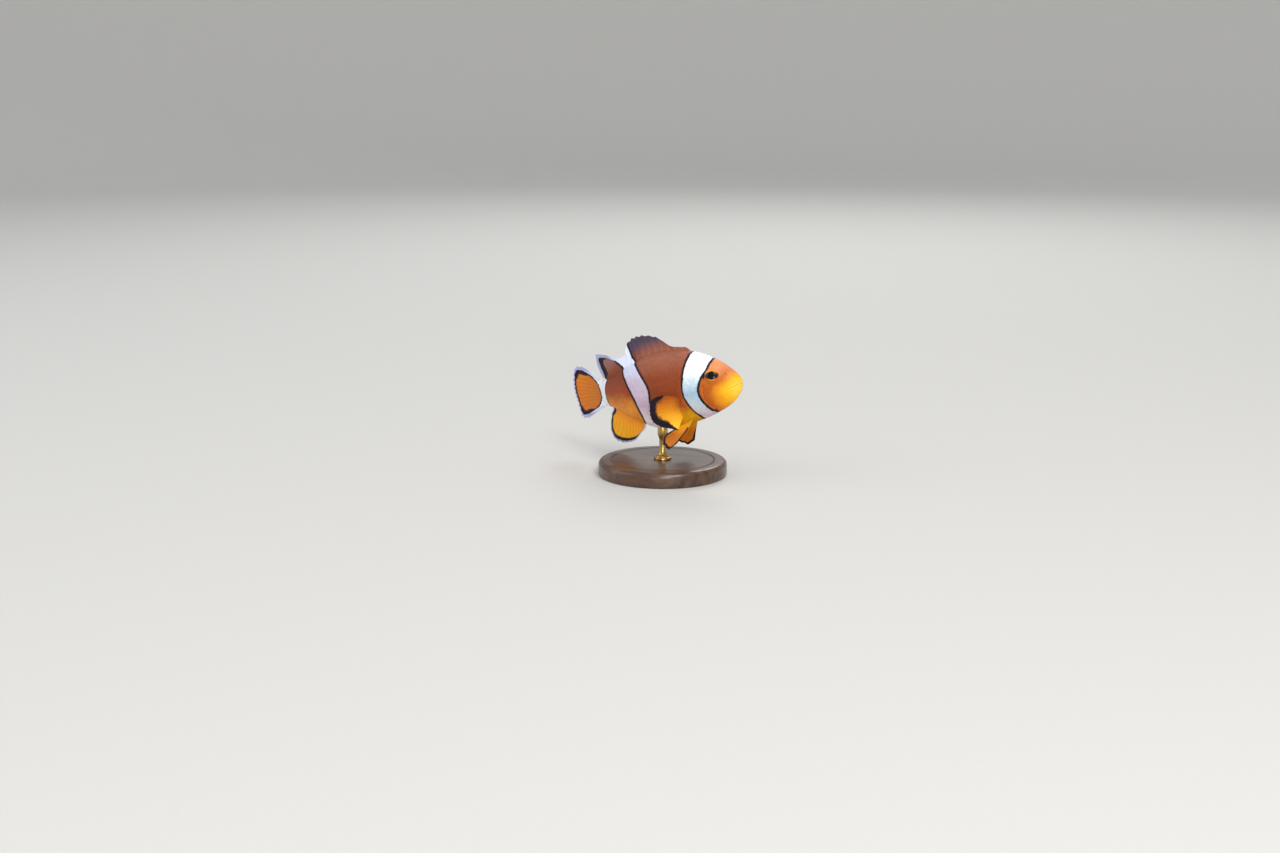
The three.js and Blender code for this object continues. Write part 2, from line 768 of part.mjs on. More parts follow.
add(stand, "stand_base", standBase(), WALNUT);
add(stand, "stand_rod", standRod(), BRASS);

export default model;
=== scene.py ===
"""A life-size still model of a young clownfish, Amphiprion ocellaris, on a turned stand.

The solids carry the size and the pose. This add-on dresses them: one skin with a coat of scales,
fins with their rays, glossy eyes, and the finish of the stand. Every part of the fish is laid out
on a straight fish in millimetres, whose snout is at 0, 0, 0 and whose tail runs along -X, and is
then bent, pitched and lifted as the solids are.
"""

import math

import bmesh
import bpy
import numpy as np
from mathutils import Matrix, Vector


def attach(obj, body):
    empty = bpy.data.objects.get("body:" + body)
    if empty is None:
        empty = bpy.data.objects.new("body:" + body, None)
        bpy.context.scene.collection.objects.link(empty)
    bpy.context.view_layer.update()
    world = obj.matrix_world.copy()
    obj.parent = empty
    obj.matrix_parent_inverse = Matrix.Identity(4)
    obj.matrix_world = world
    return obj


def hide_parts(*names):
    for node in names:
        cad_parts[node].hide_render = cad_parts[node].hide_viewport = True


bl_info = {
    "name": "Clownfish display model",
    "version": (1, 0, 0),
    "blender": (4, 5, 0),
    "location": "3D View > Sidebar > Clownfish",
    "description": "Dresses the solids of a clownfish and its stand",
    "category": "Object",
}

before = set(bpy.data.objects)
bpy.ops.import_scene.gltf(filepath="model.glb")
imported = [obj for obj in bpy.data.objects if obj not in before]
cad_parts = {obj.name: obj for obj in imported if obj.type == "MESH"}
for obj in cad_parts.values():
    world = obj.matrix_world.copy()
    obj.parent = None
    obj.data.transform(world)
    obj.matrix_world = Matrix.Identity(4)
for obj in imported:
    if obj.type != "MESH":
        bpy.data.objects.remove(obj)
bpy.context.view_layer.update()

MM = 0.001
RIGHT = -1  # sign of Y on the fish's right side
LEFT = 1
SIDES = (("right", RIGHT), ("left", LEFT))


# ---------------------------------------------------------------- sizes and colours


def linear(code):
    """A colour given as sRGB hex, as the linear values that shaders use."""
    shares = [int(code[i : i + 2], 16) / 255 for i in (1, 3, 5)]
    return tuple(c / 12.92 if c <= 0.04045 else ((c + 0.055) / 1.055) ** 2.4 for c in shares)


def length(name, description, default):
    limits = {"min": 0.0, "precision": 5, "unit": "LENGTH"}
    return bpy.props.FloatProperty(name=name, description=description, default=default, **limits)


def turn(name, description, degrees):
    default = math.radians(degrees)
    return bpy.props.FloatProperty(name=name, description=description, default=default, unit="ROTATION")


def power(name, description, default):
    return bpy.props.FloatProperty(name=name, description=description, default=default, unit="POWER")


def colour(name, description, code):
    limits = {"size": 3, "min": 0.0, "max": 1.0, "subtype": "COLOR"}
    return bpy.props.FloatVectorProperty(name=name, description=description, default=linear(code), **limits)


class FishSizes(bpy.types.PropertyGroup):
    """Sizes of the fish. Those that the solids share keep the solids' values."""

    body_length: length("Body length", "Snout to the root of the tail fin", 0.0500)
    body_depth: length("Body depth", "Back to belly at the deepest place", 0.0227)
    body_width: length("Body width", "Across the widest place", 0.0108)
    tail_fin: length("Tail fin", "Root of the tail fin to its rear edge", 0.0175)
    pectoral: length("Pectoral fin", "Longest ray of the fin behind the gill cover", 0.0118)
    pelvic: length("Pelvic fin", "Longest ray of the fin under the belly", 0.0105)
    pitch: turn("Pitch", "How far the head is raised", 10)
    tail_bend: turn("Tail bend", "How far the tail turns from the head's line", 42)
    tail_lag: turn("Tail lag", "How far the tail fin's edge trails back towards the head's line", 24)
    rod_back: length("Rod place", "Distance behind the snout of the rod under the belly", 0.0275)
    belly_height: length("Belly height", "Belly above the floor at the rod", 0.0140)
    coat: length("Coat depth", "How far the skin lies inside the solids, for the scales", 0.00010)
    scale: length("Scale spacing", "From one scale to the next along a row", 0.00068)
    scale_row: length("Scale row", "From one row of scales to the next", 0.00086)
    face_scale: length("Face scale", "Scale spacing on the cheek, gill cover and nape", 0.00050)
    eye: length("Eye radius", "Radius of the eyeball's outline", 0.00220)
    eye_depth: length("Eye depth", "Half thickness of the eyeball, across the head", 0.00090)
    eye_proud: length("Eye proud", "How far the cornea stands out of the cheek", 0.00045)
    pupil: length("Pupil", "Radius of the pupil", 0.00125)
    web: length("Fin skin", "Thickness of a fin between its rays, near the root", 0.00015)


class FishColours(bpy.types.PropertyGroup):
    """Colours of the fish, as seen in even light, except where a note says that light or shade is painted
    into them.
    """

    # Partly a painted highlight: the snout tip is lighter where light from above falls on it.
    snout_tip_highlight: colour("Snout tip", "Very front of the snout", "#ffd552")
    snout: colour("Snout", "Snout and lips", "#fdba12")
    face: colour("Face", "Middle of the face, before the eye", "#e8951a")
    cheek: colour("Cheek", "Cheek, against the first bar", "#bd5e18")
    # A painted sheen: the forehead's peach stands for light falling on it from above.
    brow_sheen: colour("Brow", "Forehead above the eyes", "#ea9b68")
    # Partly painted light: the back is paler where light from above falls on it.
    back: colour("Back", "Ridge of the back", "#a3634c")
    shoulder: colour("Shoulder", "Flank above its middle", "#964726")
    flank: colour("Flank", "Middle of the flank", "#93421b")
    low_flank: colour("Low flank", "Flank below its middle", "#aa5418")
    belly: colour("Belly", "Belly", "#eaa412")
    stalk: colour("Stalk", "Upper tail stalk", "#8a432b")
    mid_stalk: colour("Middle stalk", "Middle of the tail stalk", "#a7491d")
    low_stalk: colour("Low stalk", "Lower tail stalk", "#f6982a")
    # The first two bars are white at the top. Their lower colours are painted shade, with pinker painted
    # bounce light at the foot.
    bar: colour("Bar", "Upper part of the first bar", "#f5fdff")
    bar_middle_shade: colour("Bar middle", "Middle of the first bar", "#a0bed4")
    bar_under_shade: colour("Bar under the middle", "First bar just below its middle", "#c2ced3")
    bar_low_bounce: colour("Low bar", "Lower end of the first bar", "#d9b6bf")
    mid_bar: colour("Middle bar", "Upper part of the middle bar", "#d8e0fa")
    mid_bar_middle_shade: colour("Middle bar middle", "Middle of the middle bar", "#cdbdd2")
    mid_bar_low_bounce: colour("Low middle bar", "Lower part of the middle bar", "#cbb0c4")
    mid_bar_foot_bounce: colour("Foot of the middle bar", "Middle bar under the belly", "#fff1f5")
    tail_bar: colour("Tail bar", "Bar at the root of the tail fin", "#f4f6ff")
    margin: colour("Margin", "Edge of the bars and of the fins", "#170d1c")
    rim: colour("Rim", "Thin pale line at the very edge of a fin", "#a3a6cc")
    dusky: colour("Dusky fin", "Outer part of the spiny dorsal fin", "#4b4558")
    soft_fin: colour("Soft fin", "Outer part of the soft dorsal fin", "#90695e")
    fin: colour("Fin", "Skin of the anal and tail fins", "#c8751f")
    pectoral: colour("Pectoral", "Upper part of the pectoral fins", "#cd8210")
    pectoral_low: colour("Low pectoral", "Lower part of the pectoral fins", "#ffb92b")
    iris: colour("Iris", "Iris below the pupil", "#b5651a")
    iris_top: colour("Upper iris", "Iris above the pupil", "#d98a3c")
    pupil: colour("Pupil", "Pupil", "#07060a")
    streak: colour("Streak", "Dark streak across the iris", "#140f1c")


class StandSettings(bpy.types.PropertyGroup):
    """The display stand and the light round it."""

    base_radius: length("Base radius", "Radius of the round base", 0.0190)
    base_height: length("Base height", "Height of the round base", 0.0045)
    rod_radius: length("Rod radius", "Radius of the rod", 0.0010)
    wood: colour("Wood", "Heartwood of the base", "#5b3a24")
    wood_dark: colour("Dark wood", "Pores and late wood of the base", "#2c1a10")
    metal: colour("Metal", "Rod", "#c2a060")
    floor: colour("Floor", "Floor and backdrop", "#cdccc9")
    key: power("Key light", "Power of the main lamp", 5.8)


# ---------------------------------------------------------------- curves


def smooth(low, high, x):
    """0 below low, 1 above high, and an even rise between them."""
    t = np.clip((x - low) / (high - low), 0.0, 1.0)
    return t * t * (3.0 - 2.0 * t)


def hump(x, width):
    """1 at x = 0, falling off to nothing over about twice the width."""
    return np.exp(-((x / width) ** 2))


def through(rows):
    """A smooth curve through rows of [at, value, value...] that never overshoots a row."""
    rows = np.asarray(rows, float)
    at = rows[:, 0]
    value = rows[:, 1:]
    span = np.diff(at)[:, None]
    rise = np.diff(value, axis=0) / span
    slope = np.zeros_like(value)
    slope[0] = rise[0]
    slope[-1] = rise[-1]
    before = 2 * span[1:] + span[:-1]
    after = span[1:] + 2 * span[:-1]
    rising = rise[:-1] * rise[1:] > 0
    earlier = np.where(rising, rise[:-1], 1.0)
    later = np.where(rising, rise[1:], 1.0)
    slope[1:-1] = np.where(rising, (before + after) / (before / earlier + after / later), 0.0)

    def read(x):
        x = np.clip(np.asarray(x, float), at[0], at[-1])
        i = np.clip(np.searchsorted(at, x, side="right") - 1, 0, len(at) - 2)
        step = span[i]
        t = (x - at[i])[..., None] / step
        s = 1 - t
        return (
            (1 + 2 * t) * s * s * value[i]
            + t * s * s * step * slope[i]
            + t * t * (3 - 2 * t) * value[i + 1]
            - t * t * s * step * slope[i + 1]
        )

    return read


def rounded(corners, steps=8):
    """A closed outline that rounds through its corners."""
    corners = np.asarray(corners, float)
    t = np.arange(steps)[:, None] / steps
    spans = []
    for i in range(len(corners)):
        a, b, c, d = (corners[(i + k - 1) % len(corners)] for k in range(4))
        bend = t * t * (a - 2.5 * b + 2 * c - 0.5 * d)
        spans.append(b + 0.5 * t * (c - a) + bend + t**3 * (1.5 * (b - c) + 0.5 * (d - a)))
    return np.concatenate(spans)


def distance_to(points, path, closed=False):
    """How far each point lies from a path of straight pieces."""
    path = np.asarray(path, float)
    ends = np.roll(path, -1, axis=0) if closed else path[1:]
    starts = path if closed else path[:-1]
    best = np.full(len(points), np.inf)
    for a, b in zip(starts, ends):
        along = b - a
        t = np.clip(((points - a) @ along) / max(along @ along, 1e-12), 0, 1)
        best = np.minimum(best, np.linalg.norm(points - (a + t[:, None] * along), axis=1))
    return best


def inside(points, outline):
    """Whether each point of a plane lies inside a closed outline."""
    x, y = points[:, 0], points[:, 1]
    found = np.zeros(len(points), bool)
    for (x0, y0), (x1, y1) in zip(outline, np.roll(outline, -1, axis=0)):
        crosses = (y0 > y) != (y1 > y)
        lift = np.where(y1 == y0, 1e-12, y1 - y0)
        found ^= crosses & (x < (x1 - x0) * (y - y0) / lift + x0)
    return found


def depth_in(points, outline):
    """How far inside an outline each point lies, less than 0 outside it."""
    gap = distance_to(points, outline, closed=True)
    return np.where(inside(points, outline), gap, -gap)


# ---------------------------------------------------------------- shape of the fish

# Share of the body length, then the back, the belly and the half width as shares of depth and width.
BODY_ROWS = (
    (0.0, 0.0, 0.0, 0.0),
    (0.008, 0.062, -0.08, 0.126),
    (0.06, 0.196, -0.222, 0.292),
    (0.12, 0.302, -0.304, 0.376),
    (0.18, 0.379, -0.362, 0.44),
    (0.32, 0.48, -0.449, 0.5),
    (0.44, 0.505, -0.495, 0.491),
    (0.56, 0.476, -0.485, 0.431),
    (0.72, 0.361, -0.361, 0.306),
    (0.88, 0.219, -0.209, 0.176),
    (1.0, 0.162, -0.16, 0.102),
)
SCALED_ROOT = 2.6  # how far the scaled skin reaches onto the tail fin
ROOT_THINNED = 0.93  # share of its half width that it loses there
ROOT_NARROWED = 0.16  # and of its height
ROOT_CURVE = 1.3  # how much further back it ends at mid-height than at the back and the belly
BEND_FROM = 20.0  # behind the snout, where the body starts to turn
BEND_TO = 60.0  # and where the turn is complete
LAG_FROM = 52.0  # where the tail fin starts to trail back
LAG_TO = 68.0  # and from where it trails by the whole lag
CURVE_STEP = 0.25  # between the points of the spine's curve

# Places on the fish, as distance behind the snout and height.
EYE = (7.4, 3.3)
NOSTRIL = (3.7, 3.1)
MOUTH_BACK = 3.4  # distance of its corner behind the snout
MOUTH_FRONT = -0.25  # height of the mouth's line at the snout
MOUTH_DROP = 1.0  # how far it falls from there to its corner
GILL_COVER = (
    (11.4, 5.4), (14.0, 5.4), (15.9, 3.2), (16.6, 0.2), (16.1, -3.4), (14.2, -7.0), (11.2, -8.3),
    (8.6, -6.6), (10.2, -4.2), (11.1, -1.0), (11.0, 2.6),
)
CHEEK_EDGE = (
    (10.0, 3.9), (10.5, 2.0), (10.7, -0.6), (10.5, -3.0), (9.8, -5.0), (8.4, -6.2), (6.2, -6.4),
)
PECTORAL_ROOT = (17.6, -4.8)
LATERAL_LINE = through(((13.5, 5.6), (18.0, 7.2), (24.0, 7.9), (31.0, 6.9), (38.0, 4.6), (41.0, 3.4)))
LATERAL_LINE_ENDS = (15.5, 40.0)  # where its tubes start and stop

COAT_START = (5.5, 8.5)  # where the bare snout ends and the whole coat starts
# Folds of the mouth: how far each stands out, where it starts to fade and where it is gone behind the
# snout, its height above the mouth's line, and its width.
MOUTH_FOLDS = (
    (0.08, 2.7, 3.7, 0.44, 0.26),  # upper lip
    (0.08, 2.7, 3.7, -0.42, 0.26),  # lower lip
    (-0.26, 3.1, 3.5, 0.0, 0.075),  # the slit between them
    (-0.07, 3.6, 4.4, 0.98, 0.16),  # the fold above the upper lip
    (-0.09, 2.6, 3.6, -0.98, 0.2),  # and the one below the lower lip
)
# Rings round the nostril and the eye: how far each stands out, its radius and its width.
NOSTRIL_RINGS = ((0.11, 0.4, 0.15), (-0.36, 0.0, 0.21))
EYE_RINGS = ((0.07, 2.1, 0.2), (-0.04, 2.6, 0.22))
SOCKET_DEPTH = 0.8
SOCKET_WALL = (1.62, 1.95)  # radii between which the socket rises to the cheek
CHEEK_GROOVE = (0.12, 0.17)  # depth and width of the groove along the cheek's edge
CHEEK_GROOVE_START = (6.0, 7.5)
GILL_FLAP = 0.3  # how far the gill cover's free edge stands out
FLAP_BACK = (11.5, 15.3)  # it rises from the first to the second place behind the snout,
FLAP_LOW = (3.4, 6.8)  # or depth below the middle line,
FLAP_TOP = (3.2, 5.4)  # and fades out from the first to the second height
FLAP_REACH = 3.2  # how far in from its edge it fades
FLAP_EDGE = (-0.02, 0.14)  # its edge is as steep as this
GILL_GROOVE = (0.14, 0.2)  # depth and width of the groove behind it
GROOVE_OFF = 0.16  # and how far behind
LOBE = (0.3, 1.5, 2.7)  # the pectoral lobe's rise, and its reach along and up the fish

# The white bars, as closed outlines of distance behind the snout and height.
HEAD_BAR = (
    (7.9, 12.0), (7.9, 8.0), (8.5, 6.7), (9.2, 5.2), (10.8, 3.2), (11.8, 1.0), (12.2, -1.0),
    (11.7, -3.5), (10.6, -5.5), (9.4, -7.1), (8.7, -7.9), (8.4, -12.0), (12.2, -12.0), (12.8, -9.1),
    (13.5, -7.7), (14.6, -5.9), (15.5, -3.9), (16.3, -1.7), (16.4, 0.9), (16.0, 3.8), (15.3, 6.5),
    (14.4, 8.9), (13.6, 10.5), (13.0, 12.0),
)
MID_BAR = (
    (38.0, 17.4), (36.3, 17.4), (35.9, 15.6), (35.5, 13.6), (35.0, 12.2), (34.2, 10.2), (31.8, 7.6),
    (29.7, 4.7), (28.3, 2.2), (27.8, 0.2), (28.0, -2.0), (27.9, -4.3), (27.5, -7.1), (26.9, -10.6),
    (26.6, -14.0), (32.4, -14.0), (31.9, -9.7), (31.6, -7.3), (32.2, -4.4), (33.1, -1.3), (34.5, 1.8),
    (36.1, 4.7), (37.8, 7.2), (39.6, 8.9), (41.2, 10.0), (41.8, 11.4), (41.8, 13.5), (38.6, 13.5),
)
TAIL_BAR = (
    (46.4, 7.0), (47.0, 3.6), (47.4, 0.0), (47.1, -3.2), (46.4, -7.0), (50.0, -7.6), (56.0, -8.4),
    (59.5, -7.8), (58.2, -5.6), (55.6, -4.3), (53.4, -2.8), (52.3, -1.0), (53.1, 1.3), (53.9, 2.8),
    (56.2, 4.3), (58.6, 5.5), (59.8, 7.8), (56.0, 8.4), (50.0, 7.6),
)
HEAD_BAR_MIDDLE = 12.5
CHEEK_SHADE_WIDTH = 0.1  # how much broader the first bar's dark margin is under the cheek, a painted shade on the cheek's underside
STREAK = (0.1, 0.8)  # height above the eye's middle, and width, of the dark streak across the cheek
FADED = -1.5  # where a bar's dark margin has all but gone
# Middle of each bar behind the snout, then the width of its dark margin before and behind it.
BAR_MARGINS = ((HEAD_BAR_MIDDLE, 0.6, 0.55), (32.0, 0.62, 0.6), (49.8, 0.5, 0.5))

UNWRAP_STEPS = 400
UNWRAP_EDGE = 0.01  # free border of the unwrap
UNWRAP_SPAN = 0.98  # and what lies inside it


class Fish:
    """The straight fish in millimetres, and how it is bent, pitched and lifted onto its rod."""

    def __init__(self, sizes):
        self.long = sizes.body_length / MM
        self.tail_fin = sizes.tail_fin / MM
        self.pitch = sizes.pitch
        self.tail_bend = sizes.tail_bend
        self.tail_lag = sizes.tail_lag
        self.coat = sizes.coat / MM
        self.sizes = sizes
        depth, width = sizes.body_depth / MM, sizes.body_width / MM
        rows = np.array(BODY_ROWS) * (self.long, depth, depth, width)
        rows[:, 0] = np.sqrt(rows[:, 0])
        self.curve = through(rows)
        self.gill = rounded(GILL_COVER)
        self.bars = [rounded(bar, 5) for bar in (HEAD_BAR, MID_BAR, TAIL_BAR)]
        self._lay_spine()
        self._lay_unwrap()
        under = np.array([[-sizes.rod_back / MM, 0.0, self.section(sizes.rod_back / MM)[1]]])
        held = self._pitched(self._bent(under))[0]
        self.lift = np.array([-held[0], -held[1], sizes.belly_height / MM - held[2]])

    def section(self, back):
        """Top, bottom and half width of the body at a place behind the snout."""
        back = np.asarray(back, float)
        top, bottom, half = np.moveaxis(self.curve(np.sqrt(np.clip(back, 0, self.long))), -1, 0)
        over = np.clip((back - self.long) / SCALED_ROOT, 0, 1)
        narrowed = 1 - ROOT_NARROWED * over**2
        return top * narrowed, bottom * narrowed, half * (1 - ROOT_THINNED * smooth(0, 1, over))

    def body(self, q, angle):
        """Points of the plain body at an angle round it, and at q, the root of the place behind the snout."""
        back = q * q
        top, bottom, half = self.section(back)
        over = np.clip((back - self.long) / SCALED_ROOT, 0, 1)
        rounding = ROOT_CURVE * over * np.sin(angle) ** 2
        height = (top + bottom) / 2 + (top - bottom) / 2 * np.sin(angle)
        return np.stack([-(back - rounding), half * np.cos(angle), height], axis=-1)

    def outward(self, q, angle):
        """The plain body's outward direction there."""
        d = 0.004  # a small step, both of q and of the angle
        last = math.sqrt(self.long + SCALED_ROOT)
        ahead = self.body(np.clip(q + d, 0, last), angle)
        behind = self.body(np.clip(q - d, 0, last), angle)
        round_it = self.body(q, angle + d) - self.body(q, angle - d)
        n = np.cross(ahead - behind, round_it)
        size = np.linalg.norm(n, axis=-1, keepdims=True)
        return np.where(size > 1e-12, n / np.maximum(size, 1e-12), np.array([1.0, 0.0, 0.0]))

    def spot(self, back, height, side):
        """The skin's point at a place and height on one side, and the outward direction there."""
        top, bottom, _ = self.section(back)
        angle = np.arcsin(np.clip((height - (top + bottom) / 2) / ((top - bottom) / 2), -1, 1))
        angle = angle if side == LEFT else math.pi - angle
        return self.body(np.sqrt(back), angle), self.outward(np.sqrt(back), angle)

    def _heading(self, back):
        turned = self.tail_bend * smooth(BEND_FROM, BEND_TO, back)
        return turned - self.tail_lag * smooth(LAG_FROM, LAG_TO, back)

    def _lay_spine(self):
        starts = np.arange(0, self.long + 2 * self.tail_fin, CURVE_STEP)
        heading = self._heading(starts + CURVE_STEP / 2)
        x = np.concatenate([[0.0], -np.cumsum(CURVE_STEP * np.cos(heading))])
        y = np.concatenate([[0.0], np.cumsum(CURVE_STEP * np.sin(heading))])
        self.spine = np.stack([x, y], axis=-1)

    def _lay_unwrap(self):
        places = np.linspace(0, math.sqrt(self.long + SCALED_ROOT), UNWRAP_STEPS)
        top, bottom, _ = self.section(places**2)
        steps = np.hypot(np.diff(places**2), np.diff((top - bottom) / 2))
        self.outline_places = places
        self.outline_run = np.concatenate([[0.0], np.cumsum(steps)]) / steps.sum()

    def unwrap(self, q, angle):
        """The skin's unwrap: along the fish by its outline, and round it from the ridge of the back."""
        along = np.interp(q, self.outline_places, self.outline_run)
        around = (angle - math.pi / 2) / (2 * math.pi) % 1.0
        return UNWRAP_EDGE + UNWRAP_SPAN * np.stack([along, around], axis=-1)

    def _bent(self, points):
        back = -points[:, 0]
        i = np.clip((back / CURVE_STEP).astype(int), 0, len(self.spine) - 2)
        t = (back / CURVE_STEP - i)[:, None]
        on_spine = self.spine[i] * (1 - t) + self.spine[i + 1] * t
        heading = self._heading(back)
        moved = points.copy()
        moved[:, 0] = on_spine[:, 0] + points[:, 1] * np.sin(heading)
        moved[:, 1] = on_spine[:, 1] + points[:, 1] * np.cos(heading)
        return np.where((back > 0)[:, None], moved, points)

    def _pitched(self, points):
        c, s = math.cos(self.pitch), math.sin(self.pitch)
        x, y, z = points.T
        return np.stack([c * x - s * z, y, s * x + c * z], axis=-1)

    def placed(self, points):
        """Points of the straight fish, where they are on the posed one, in metres."""
        return (self._pitched(self._bent(np.asarray(points, float))) + self.lift) * MM

    def markings(self, points):
        """How far inside each white bar a point is, and how far ahead of the first.

        Outside a bar, -1 is the outer edge of its dark margin.
        """
        flat = np.stack([-points[:, 0], points[:, 2]], axis=-1)
        back, height = flat.T
        found = []
        for outline, (middle, front, rear) in zip(self.bars, BAR_MARGINS):
            deep = depth_in(flat, outline)
            width = np.where(back < middle, front, rear)
            if middle == HEAD_BAR_MIDDLE:
                ahead = np.where(back < middle, np.clip(-deep, 0, None), 0.0)
                # Under the cheek the margin is broadened into a painted shade.
                width = width + CHEEK_SHADE_WIDTH * smooth(-1.5, -6.0, height) * (back < middle)
            found.append(np.where(deep < 0, deep / width, deep))
        # The streak through the eye runs on over the cheek to the first bar.
        above, width = STREAK
        streak = hump(height - EYE[1] - above, width) * smooth(8.7, 9.7, back) * (back < HEAD_BAR_MIDDLE)
        found[0] = np.where(found[0] < 0, np.maximum(found[0], FADED + streak), found[0])
        return np.stack(found, axis=-1), ahead


def rings_round(away, rings):
    """The relief of rings at a distance from their middle."""
    return sum(raised * hump(away - radius, width) for raised, radius, width in rings)


def relief(fish, points):
    """How far the skin stands out of the plain body at points of it, in millimetres."""
    back, height = -points[:, 0], points[:, 2]
    flat = np.stack([back, height], axis=-1)
    out = -fish.coat * smooth(*COAT_START, back)  # the bare snout has no scales to leave room for

    from_line = height - (MOUTH_FRONT - MOUTH_DROP * back / MOUTH_BACK)
    for raised, fading, gone, above, width in MOUTH_FOLDS:
        out += raised * (1 - smooth(fading, gone, back)) * hump(from_line - above, width)
    for _, side in SIDES:
        from_nostril, from_eye = (
            np.linalg.norm(points - fish.spot(*place, side)[0], axis=1) for place in (NOSTRIL, EYE)
        )
        out += rings_round(from_nostril, NOSTRIL_RINGS) + rings_round(from_eye, EYE_RINGS)
        out -= SOCKET_DEPTH * (1 - smooth(*SOCKET_WALL, from_eye))  # the eyeball fills it

    # Edge of the cheek, then the gill cover, whose rear and lower edges stand off the body as a flap.
    depth, width = CHEEK_GROOVE
    out -= depth * smooth(*CHEEK_GROOVE_START, back) * hump(distance_to(flat, CHEEK_EDGE), width)
    flap = np.maximum(smooth(*FLAP_BACK, back), smooth(*FLAP_LOW, -height))
    flap *= 1 - smooth(*FLAP_TOP, height)
    deep = depth_in(flat, fish.gill)
    lift = GILL_FLAP * flap * np.exp(-np.maximum(deep, 0) / FLAP_REACH)
    out += lift * smooth(*FLAP_EDGE, deep) * (deep > 0)
    depth, width = GILL_GROOVE
    out -= depth * flap * hump(deep + GROOVE_OFF, width)

    # The fleshy lobe that carries each pectoral fin.
    rise, along, up = LOBE
    root_back, root_height = PECTORAL_ROOT
    return out + rise * np.exp(-(((back - root_back) / along) ** 2) - ((height - root_height) / up) ** 2)


# ---------------------------------------------------------------- meshes


def new_piece(name, points, faces, material):
    """A smooth mesh object from points in metres and arrays of faces, with its faces turned outwards."""
    corners = [f.tolist() for f in faces if len(f)]
    fan = np.concatenate([f[:, [0, k, k + 1]] for f in faces for k in range(1, f.shape[1] - 1)])
    a, b, c = (points[fan[:, k]] for k in range(3))
    if np.einsum("ij,ij->", a, np.cross(b, c)) < 0:
        corners = [[face[::-1] for face in group] for group in corners]
    mesh = bpy.data.meshes.new(name)
    mesh.from_pydata(points.tolist(), [], [face for group in corners for face in group])
    mesh.update()
    piece = bpy.data.objects.new(name, mesh)
    bpy.context.scene.collection.objects.link(piece)
    mesh.shade_smooth()
    mesh.materials.append(material)
    return piece


def give(piece, name, values):
    """Stores a number or a vector for each point of a piece, for its material to read."""
    values = np.asarray(values, np.float32)
    if values.ndim == 1:
        layer = piece.data.attributes.new(name, "FLOAT", "POINT")
        layer.data.foreach_set("value", values)
    else:
        layer = piece.data.attributes.new(name, "FLOAT_VECTOR", "POINT")
        layer.data.foreach_set("vector", values.ravel())


FAR_OUTSIDE = -9.0  # stored where a piece has none of a bar


def mark(fish, piece, points, bars=(0, 1, 2)):
    """Stores each point's place on the straight fish, and where it lies in and ahead of its white bars."""
    deep, ahead = fish.markings(points)
    for unused in {0, 1, 2} - set(bars):
        deep[:, unused] = FAR_OUTSIDE
    give(piece, "straight", points * (-1, 1, 1))
    give(piece, "bars", deep)
    give(piece, "ahead", ahead)


def give_unwrap(piece, values, seam=False):
    """Lays each point's place on the skin's unwrap on the corners of the faces."""
    corner_points = np.zeros(len(piece.data.loops), np.int32)
    piece.data.loops.foreach_get("vertex_index", corner_points)
    uv = values[corner_points]
    if seam:  # a face that spans the seam goes on past its far side
        starts = np.zeros(len(piece.data.polygons), np.int32)
        totals = np.zeros(len(piece.data.polygons), np.int32)
        piece.data.polygons.foreach_get("loop_start", starts)
        piece.data.polygons.foreach_get("loop_total", totals)
        face = np.repeat(np.arange(len(starts)), totals)
        high = np.maximum.reduceat(uv[:, 1], starts)[face]
        uv[:, 1] += UNWRAP_SPAN * ((high > 0.75) & (uv[:, 1] < 0.25))
    layer = piece.data.uv_layers.new(name="OFBake")
    layer.data.foreach_set("uv", uv.astype(np.float32).ravel())


def ring_points(along, around):
    """Two coordinates of a closed form's points: its first point, rings of points, and its last point."""
    first, *rings, last = along
    return (
        np.array([first, *np.repeat(rings, len(around)), last]),
        np.array([around[0], *np.tile(around, len(rings)), around[0]]),
    )


def ring_faces(rings, around):
    """Faces of such a form: between its rings, and to its first and last points."""
    ring = 1 + np.arange(rings * around).reshape(rings, around)
    step = np.roll(ring, -1, axis=1)
    quads = np.stack([ring[:-1], ring[1:], step[1:], step[:-1]], -1).reshape(-1, 4)
    first = np.stack([np.zeros(around, int), ring[0], step[0]], -1)
    last = np.stack([np.full(around, 1 + rings * around), step[-1], ring[-1]], -1)
    return quads, first, last


def plate_faces(wide, tall):
    """Faces of a closed plate, two sheets of wide x tall points with the second behind the first."""
    behind = wide * tall
    near = np.arange(behind).reshape(wide, tall)
    front = np.stack([near[:-1, :-1], near[1:, :-1], near[1:, 1:], near[:-1, 1:]], -1).reshape(-1, 4)
    faces = [front, front[:, [0, 3, 2, 1]] + behind]
    for rim in (near[:, 0], near[::-1, -1], near[0, ::-1], near[-1]):
        faces.append(np.stack([rim[1:], rim[:-1], rim[:-1] + behind, rim[1:] + behind], -1))
    return np.concatenate(faces)


# ---------------------------------------------------------------- materials

EASED = {"interpolation_type": "SMOOTHSTEP"}
COLOUR = {"data_type": "RGBA"}


